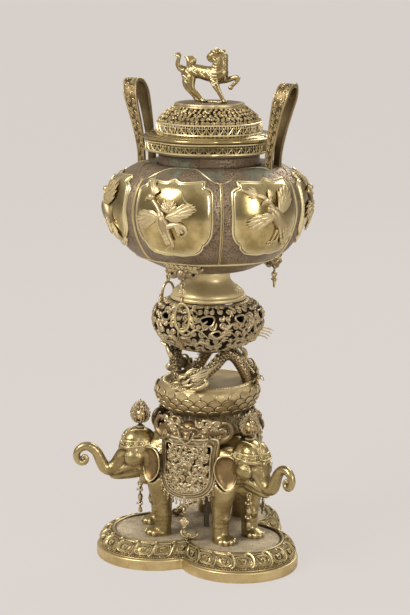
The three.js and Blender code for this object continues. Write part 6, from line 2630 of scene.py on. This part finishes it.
def make_finial():
    """A horned beast that steps along +X with a raised forefoot and looks back."""
    foot = DISC_TOP_Z + GAP

    def at(*points):
        return [(x, y, foot + h, r) for x, y, h, r in points]

    def flesh(*points, flat=0.9):
        limb(shape, at(*points), sides=20, up=(0, 1, 0), flat=flat)

    shape = bmesh.new()
    flesh(
        (-34, 0, 38, 9),
        (-26, 0, 41.4, 10.8),
        (-17, 0, 42, 9.8),
        (-4, 0, 39.6, 10.4),
        (10, 0, 38.4, 12),
        (17, 0, 41, 10.6),
    )
    flesh((12, 0, 42, 12), (16, 0, 54, 10.8), (15, -0.5, 62, 9.2), (12, -1, 66.6, 7.6), flat=0.8)
    ball(shape, (12, -1, foot + 66.4), (9.4, 7.2, 8.2))
    flesh((7, -1.5, 65.4, 6.2), (2.4, -2, 63.6, 5.6), (0.8, -2, 62.4, 5))
    flesh((8, -1.5, 59.4, 4), (2.4, -2, 58, 2.8), (-0.4, -2, 58.2, 1.7))
    for side in (1, -1):
        ball(shape, (-2.4, -2 + side * 1.8, foot + 65.2), (1.6, 1.5, 1.4), sides=12)
        flesh((4, side * 3 - 1.5, 70.4, 1.8), (8, side * 6 - 1.2, 71.2, 1.9), (13, side * 7 - 1, 69, 1.2))
        flesh((11, side * 3 - 1, 71, 2.0), (11.6, side * 3.4 - 1, 74, 1.4), (11, side * 3.6 - 1, 76.2, 0.6))
        flesh((15, side * 6 - 1, 70, 2.4), (19, side * 8.6 - 1, 71.6, 1.8), (22, side * 8 - 1, 70.6, 0.8))
        flesh((8, side * 5.6 - 1, 61, 2.6), (12, side * 7.6 - 1, 58, 2.2), (14, side * 7 - 1, 53, 1.2))
    for side, step in ((1, 0), (-1, 14.5)):
        flesh(
            (-35 + step / 2, side * 4, 34, 8.2),
            (-37 + step * 0.7, side * 6, 24, 6.8),
            (-35 + step * 0.8, side * 7, 17, 4.8),
            (-28 + step, side * 7, 9, 3.2),
            (-23 + step, side * 7, 2.6, 3),
            flat=0.75,
        )
        ball(shape, (-21 + step, side * 7, foot + 2.4), (5, 3.6, 2.6), sides=16)
    flesh((8, -5, 34, 8), (12, -7, 24, 5.2), (17, -7, 15, 3.4), (22, -7, 6, 2.8), (24.5, -7, 2, 2.8), flat=0.75)
    ball(shape, (25.6, -7, foot + 2.3), (4.2, 3.4, 2.5), sides=16)
    flesh(
        (13, 4, 32, 7),
        (24, 6, 31.6, 4.4),
        (34, 6, 34.4, 3.5),
        (40.6, 6, 35, 3),
        (39, 6, 30, 2.6),
        (32.4, 6, 24, 2.6),
        flat=0.8,
    )
    ball(shape, (29.4, 6, foot + 20.6), (3.8, 2.8, 3.2), sides=14)
    for y, lift in ((0, 0), (1.8, 1.6), (-1.8, -1.4)):
        flesh(
            (-34, y / 2, 44, 3.6),
            (-43, y, 45 + lift, 3.4),
            (-49 - lift / 2, y, 50, 3),
            (-48, y, 57.6 + lift, 2.6),
            (-46.6, y, 63.4 + lift, 2.2),
            (-52 + lift, y, 65.6 + lift, 1.1),
        )
    for aside, lean in ((-2.4, -3.4), (0, 0), (2.4, 3)):
        flesh(
            (-33, 1, 47, 3.2),
            (-29 + lean / 2, 1 + aside, 53, 4),
            (-28.4 + lean, 1 + aside, 58, 3.4),
            (-31 + lean, 1 + aside, 61.6, 2),
            (-34.6 + lean, 1 + aside, 62.6, 0.9),
        )
    for k in range(6):
        h = 38 + 5.6 * k
        for y in (-3.6, 0, 3.6):
            flesh((19, y * 0.8, h + 2, 3), (22.8, y, h + 1, 2.2), (24.6, y * 1.1, h - 3.4, 1.5), (23.4, y, h - 7, 0.7))
    pad = at((-22, 7, 1, 2.6), (-2, 0, 1, 4.4), (25, -7, 1, 2.2))
    limb(shape, pad, up=(0, 0, 1), flat=0.5, sides=14)
    cast = fused(shape, 0.62, 2)
    for point in cast.verts:
        point.co.z = max(point.co.z, foot)
    trim = bmesh.new()
    look = seen_from(cast)
    for side in (1, -1):
        spot, normal = look((6, side * 40, foot + 67.6), (0, -side, 0))
        ball(trim, spot, (1.7, 1.2, 1.5), sides=12)
        for k in range(6):
            h = foot + 34 + 4.2 * k
            drawn_on(trim, look, side, [(5 + 0.5 * k, h + 1), (9 + 0.4 * k, h - 0.6), (14, h - 0.4)], 0.8)
        for x, z, reach in ((-30, 46, 8), (-20, 47, 8), (-8, 44, 7), (3, 44, 7), (-34, 34, 7), (10, 30, 6)):
            flame = [(x, foot + z - 6), (x - 3, foot + z - 2), (x + 1, foot + z), (x - 4, foot + z + reach * 0.4)]
            drawn_on(trim, look, side, flame, 0.9)
            drawn_on(trim, look, side, [(a + 3.4, b - 2) for a, b in flame], 0.7)
        for k in range(3):
            tuft = [(3 + k, foot + 27 - k), (-1 + k, foot + 22 - k), (-4 + 2 * k, foot + 18 - k)]
            drawn_on(trim, look, side, tuft, 1.1)
    piece("finial_beast_cast", cast, SATIN, "lid_with_finial", nodes=["finial_beast"])
    piece("finial_beast_chasing", trim, BRIGHT, "lid_with_finial")


# Handles
def handle_path():
    """The centre line of a handle with its half widths, and points to place ornament on it."""

    def lean(z):
        share = max(z - HANDLE_FOOT_Z, 0) / (HANDLE_TOP_Z - HANDLE_FOOT_Z)
        return HANDLE_OUT + (HANDLE_TOP_OUT - HANDLE_OUT) * share**1.4

    foot = HANDLE_SPREAD * 0.85
    crown = HANDLE_TOP_Z
    side = [
        (foot, HANDLE_FOOT_Z - 9, 0.34),
        (foot, HANDLE_FOOT_Z + 14, 0.34),
        (foot + 1, HANDLE_FOOT_Z + 45, 0.44),
        (HANDLE_SPREAD + 1, crown - 38, 0.54),
        (HANDLE_SPREAD, crown - 18, 0.66),
        (HANDLE_SPREAD * 0.6, crown - 5, 0.66),
    ]
    points = [(lean(z), -y, z, STRAP_WIDTH * w) for y, z, w in side]
    points.append((lean(crown), 0, crown - 1.5, STRAP_WIDTH * 0.66))
    points += [(x, -y, z, w) for x, y, z, w in reversed(points[:-1])]
    return eased(points, 7)


def strap_skin(path, up):
    """A place(along, aside, out) on the outer face of a flat strap that follows a path."""
    spine = frames(path, up)
    rows = [(run, *place, *across, *other) for place, across, other, run in spine]
    read = reader(rows)

    def place(along, aside, out=0.0):
        row = read(along)
        spot = Vector(row[1:4])
        return spot + Vector(row[4:7]) * aside + Vector(row[7:10]) * out

    place.length = rows[-1][0]
    return place


def make_handles():
    """Flat straps bent over in a loop, with scrolls between two raised borders."""
    path = handle_path()
    strap = bmesh.new()
    spine = frames(path, (1, 0, 0))
    wide = reader([(run, half[3]) for (place, across, other, run), half in zip(spine, path)])
    sweep(strap, [(*p[:3], STRAP_THICK / 2) for p in path], sides=24, up=(1, 0, 0), square=0.35)
    stations = len(path)
    for point in strap.verts:
        near = min(range(stations), key=lambda i: (spine[i][0] - point.co).length_squared)
        place, across, other, run = spine[near]
        aside = (point.co - place).dot(across)
        point.co += across * aside * (path[near][3] / (STRAP_THICK / 2) - 1)
    bmesh.ops.remove_doubles(strap, verts=strap.verts, dist=1e-3)
    bmesh.ops.holes_fill(strap, edges=strap.edges)
    skin = strap_skin(path, (1, 0, 0))
    sign = 1 if skin(0, 0, 5).y < path[0][1] else -1

    def outer(along, aside, out):
        half = wide(along)[1]
        return skin(along, aside * half, sign * (STRAP_THICK / 2 + out))

    for edge in (-0.9, 0.9):
        line = [(skin.length * k / 60, edge, 1.1) for k in range(61)]
        raised = [(*outer(a, b, 0.2), w) for a, b, w in line]
        sweep(strap, tipped(raised), sides=8)
    count = 30
    for k in range(count):
        along = skin.length * (k + 0.5) / count
        hand = 1 if k % 2 else -1
        for middle, turn in ((0.32 * hand, 0.0), (-0.36 * hand, 2.6)):
            scroll = volute(along + turn, middle * 9, 3.2, turn + hand, hand, 0.8)
            sweep(strap, tipped([(*outer(a, b / 9, -0.2), w) for a, b, w in scroll]), sides=6)
    for name, turn in (("right", 0), ("left", 180)):
        piece(f"handle_{name}_strap", strap.copy(), STRAP, nodes=[f"handle_{name}"], turn=turn)


make_plinth()
make_elephant_body()
make_elephant_head()
make_jewels()
make_pendants()
make_cloths()
make_beast_masks()
make_collar()
make_lotus()
make_dragons()
make_bulb()
make_waist()
make_bowl()
make_panels()
make_birds()
make_ring_masks()
make_rings()
make_gallery()
make_lid()
make_finial()
make_handles()


# What is still shown of the frame
FRAME_FINISHES = {
    "tie_rod": IRON,
    "bowl_bolt": IRON,
    "bowl_nut": IRON,
    "finial_nut": IRON,
    "finial_beast": SATIN,
    "scroll_collar": CAST,
    "openwork_bulb": CAST,
}


def finish_frame():
    """Gives every part of the frame that still shows a material of this script."""
    for name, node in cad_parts.items():
        material = FRAME_FINISHES.get(name, CAST)[0]
        if name.startswith(("elephant", "swing")):
            material = SATIN[0]
        if name.startswith("ring_mask"):
            material = GROUND[0]
        if not node.data.materials:
            node.data.materials.append(material)
        for slot in node.material_slots:
            slot.material = material


finish_frame()


# Floor, light and camera
def make_stage():
    """A pale floor that runs out of sight."""
    shape = bmesh.new()
    bmesh.ops.create_grid(shape, x_segments=1, y_segments=1, size=60)
    mesh = bpy.data.meshes.new("floor")
    shape.to_mesh(mesh)
    floor = bpy.data.objects.new("floor", mesh)
    bpy.context.scene.collection.objects.link(floor)
    material = bpy.data.materials.new("Pale floor")
    material.use_nodes = True
    shader = material.node_tree.nodes["Principled BSDF"]
    shader.inputs["Base Color"].default_value = colour("d8d1cb")
    shader.inputs["Roughness"].default_value = 0.9
    shader.inputs["Specular IOR Level"].default_value = 0.1
    tree = material.node_tree
    ray = add(tree, "ShaderNodeLightPath")
    share = maths(tree, "MULTIPLY", ray.outputs["Is Camera Ray"], 0.92)
    even = add(tree, "ShaderNodeEmission", {"Color": colour("dad3cd"), "Strength": 1.0})
    both = add(tree, "ShaderNodeMixShader", {0: share, 1: shader.outputs[0], 2: even.outputs[0]})
    tree.links.new(both.outputs[0], tree.nodes["Material Output"].inputs["Surface"])
    mesh.materials.append(material)


def make_world():
    """Even studio light, with the pale background for the eye and for reflections."""
    world = bpy.data.worlds.new("Studio")
    bpy.context.scene.world = world
    world.use_nodes = True
    tree = world.node_tree
    tree.nodes.clear()
    ray = add(tree, "ShaderNodeLightPath")
    seen = maths(tree, "MAXIMUM", ray.outputs["Is Camera Ray"], ray.outputs["Is Transmission Ray"])
    light = add(tree, "ShaderNodeBackground", {"Color": (1, 0.99, 0.98, 1), "Strength": 0.6})
    way = add(tree, "ShaderNodeTexCoord").outputs["Generated"]
    height = add(tree, "ShaderNodeSeparateXYZ", {"Vector": way}).outputs["Z"]
    overhead = maths(tree, "MULTIPLY", ramp(tree, height, -0.1, 0.65), 0.62)
    glow = maths(tree, "ADD", overhead, 0.34)
    mirrored = add(tree, "ShaderNodeBackground", {"Color": colour("dcd5ce"), "Strength": glow})
    view = add(tree, "ShaderNodeBackground", {"Color": colour("ddd6d0"), "Strength": 1.0})
    room = add(
        tree,
        "ShaderNodeMixShader",
        {0: ray.outputs["Is Glossy Ray"], 1: light.outputs[0], 2: mirrored.outputs[0]},
    )
    both = add(tree, "ShaderNodeMixShader", {0: seen, 1: room.outputs[0], 2: view.outputs[0]})
    end = add(tree, "ShaderNodeOutputWorld")
    tree.links.new(both.outputs[0], end.inputs["Surface"])


def lamp(name, place, size, power, target=(0, 0, 0.4)):
    """A soft square lamp that faces the burner."""
    data = bpy.data.lights.new(name, "AREA")
    data.shape = "RECTANGLE"
    data.size, data.size_y = size
    data.energy = power
    data.color = (1.0, 0.985, 0.96)
    light = bpy.data.objects.new(name, data)
    bpy.context.scene.collection.objects.link(light)
    light.location = place
    away = Vector(place) - Vector(target)
    light.rotation_euler = away.to_track_quat("Z", "Y").to_euler()
    return data


def make_lights():
    lamp("key", (-1.2, -2.0, 2.3), (1.2, 1.2), 78)
    lamp("fill", (2.6, -1.5, 1.4), (0.9, 1.5), 30)
    lamp("back", (0.4, 2.6, 2.2), (1.6, 1.0), 30)


def make_camera():
    """The photograph's view: from the front right, a little above the rim."""
    data = bpy.data.cameras.new("camera")
    data.lens = 104.6
    data.sensor_width = 36
    data.clip_end = 200
    camera = bpy.data.objects.new("camera", data)
    bpy.context.scene.collection.objects.link(camera)
    bpy.context.scene.camera = camera
    bearing = math.radians(292)
    camera.location = (2.52 * math.cos(bearing), 2.52 * math.sin(bearing), 0.878)
    turn = Matrix.Rotation(math.radians(22 + 0.1), 4, "Z")
    tilt = Matrix.Rotation(math.radians(90 - 11.5), 4, "X")
    roll = Matrix.Rotation(math.radians(0.41), 4, "Z")
    camera.matrix_world = Matrix.Translation(camera.location) @ turn @ tilt @ roll
    return camera


make_stage()
make_world()
make_lights()
make_camera()

view = bpy.context.scene.view_settings
view.view_transform = "Standard"
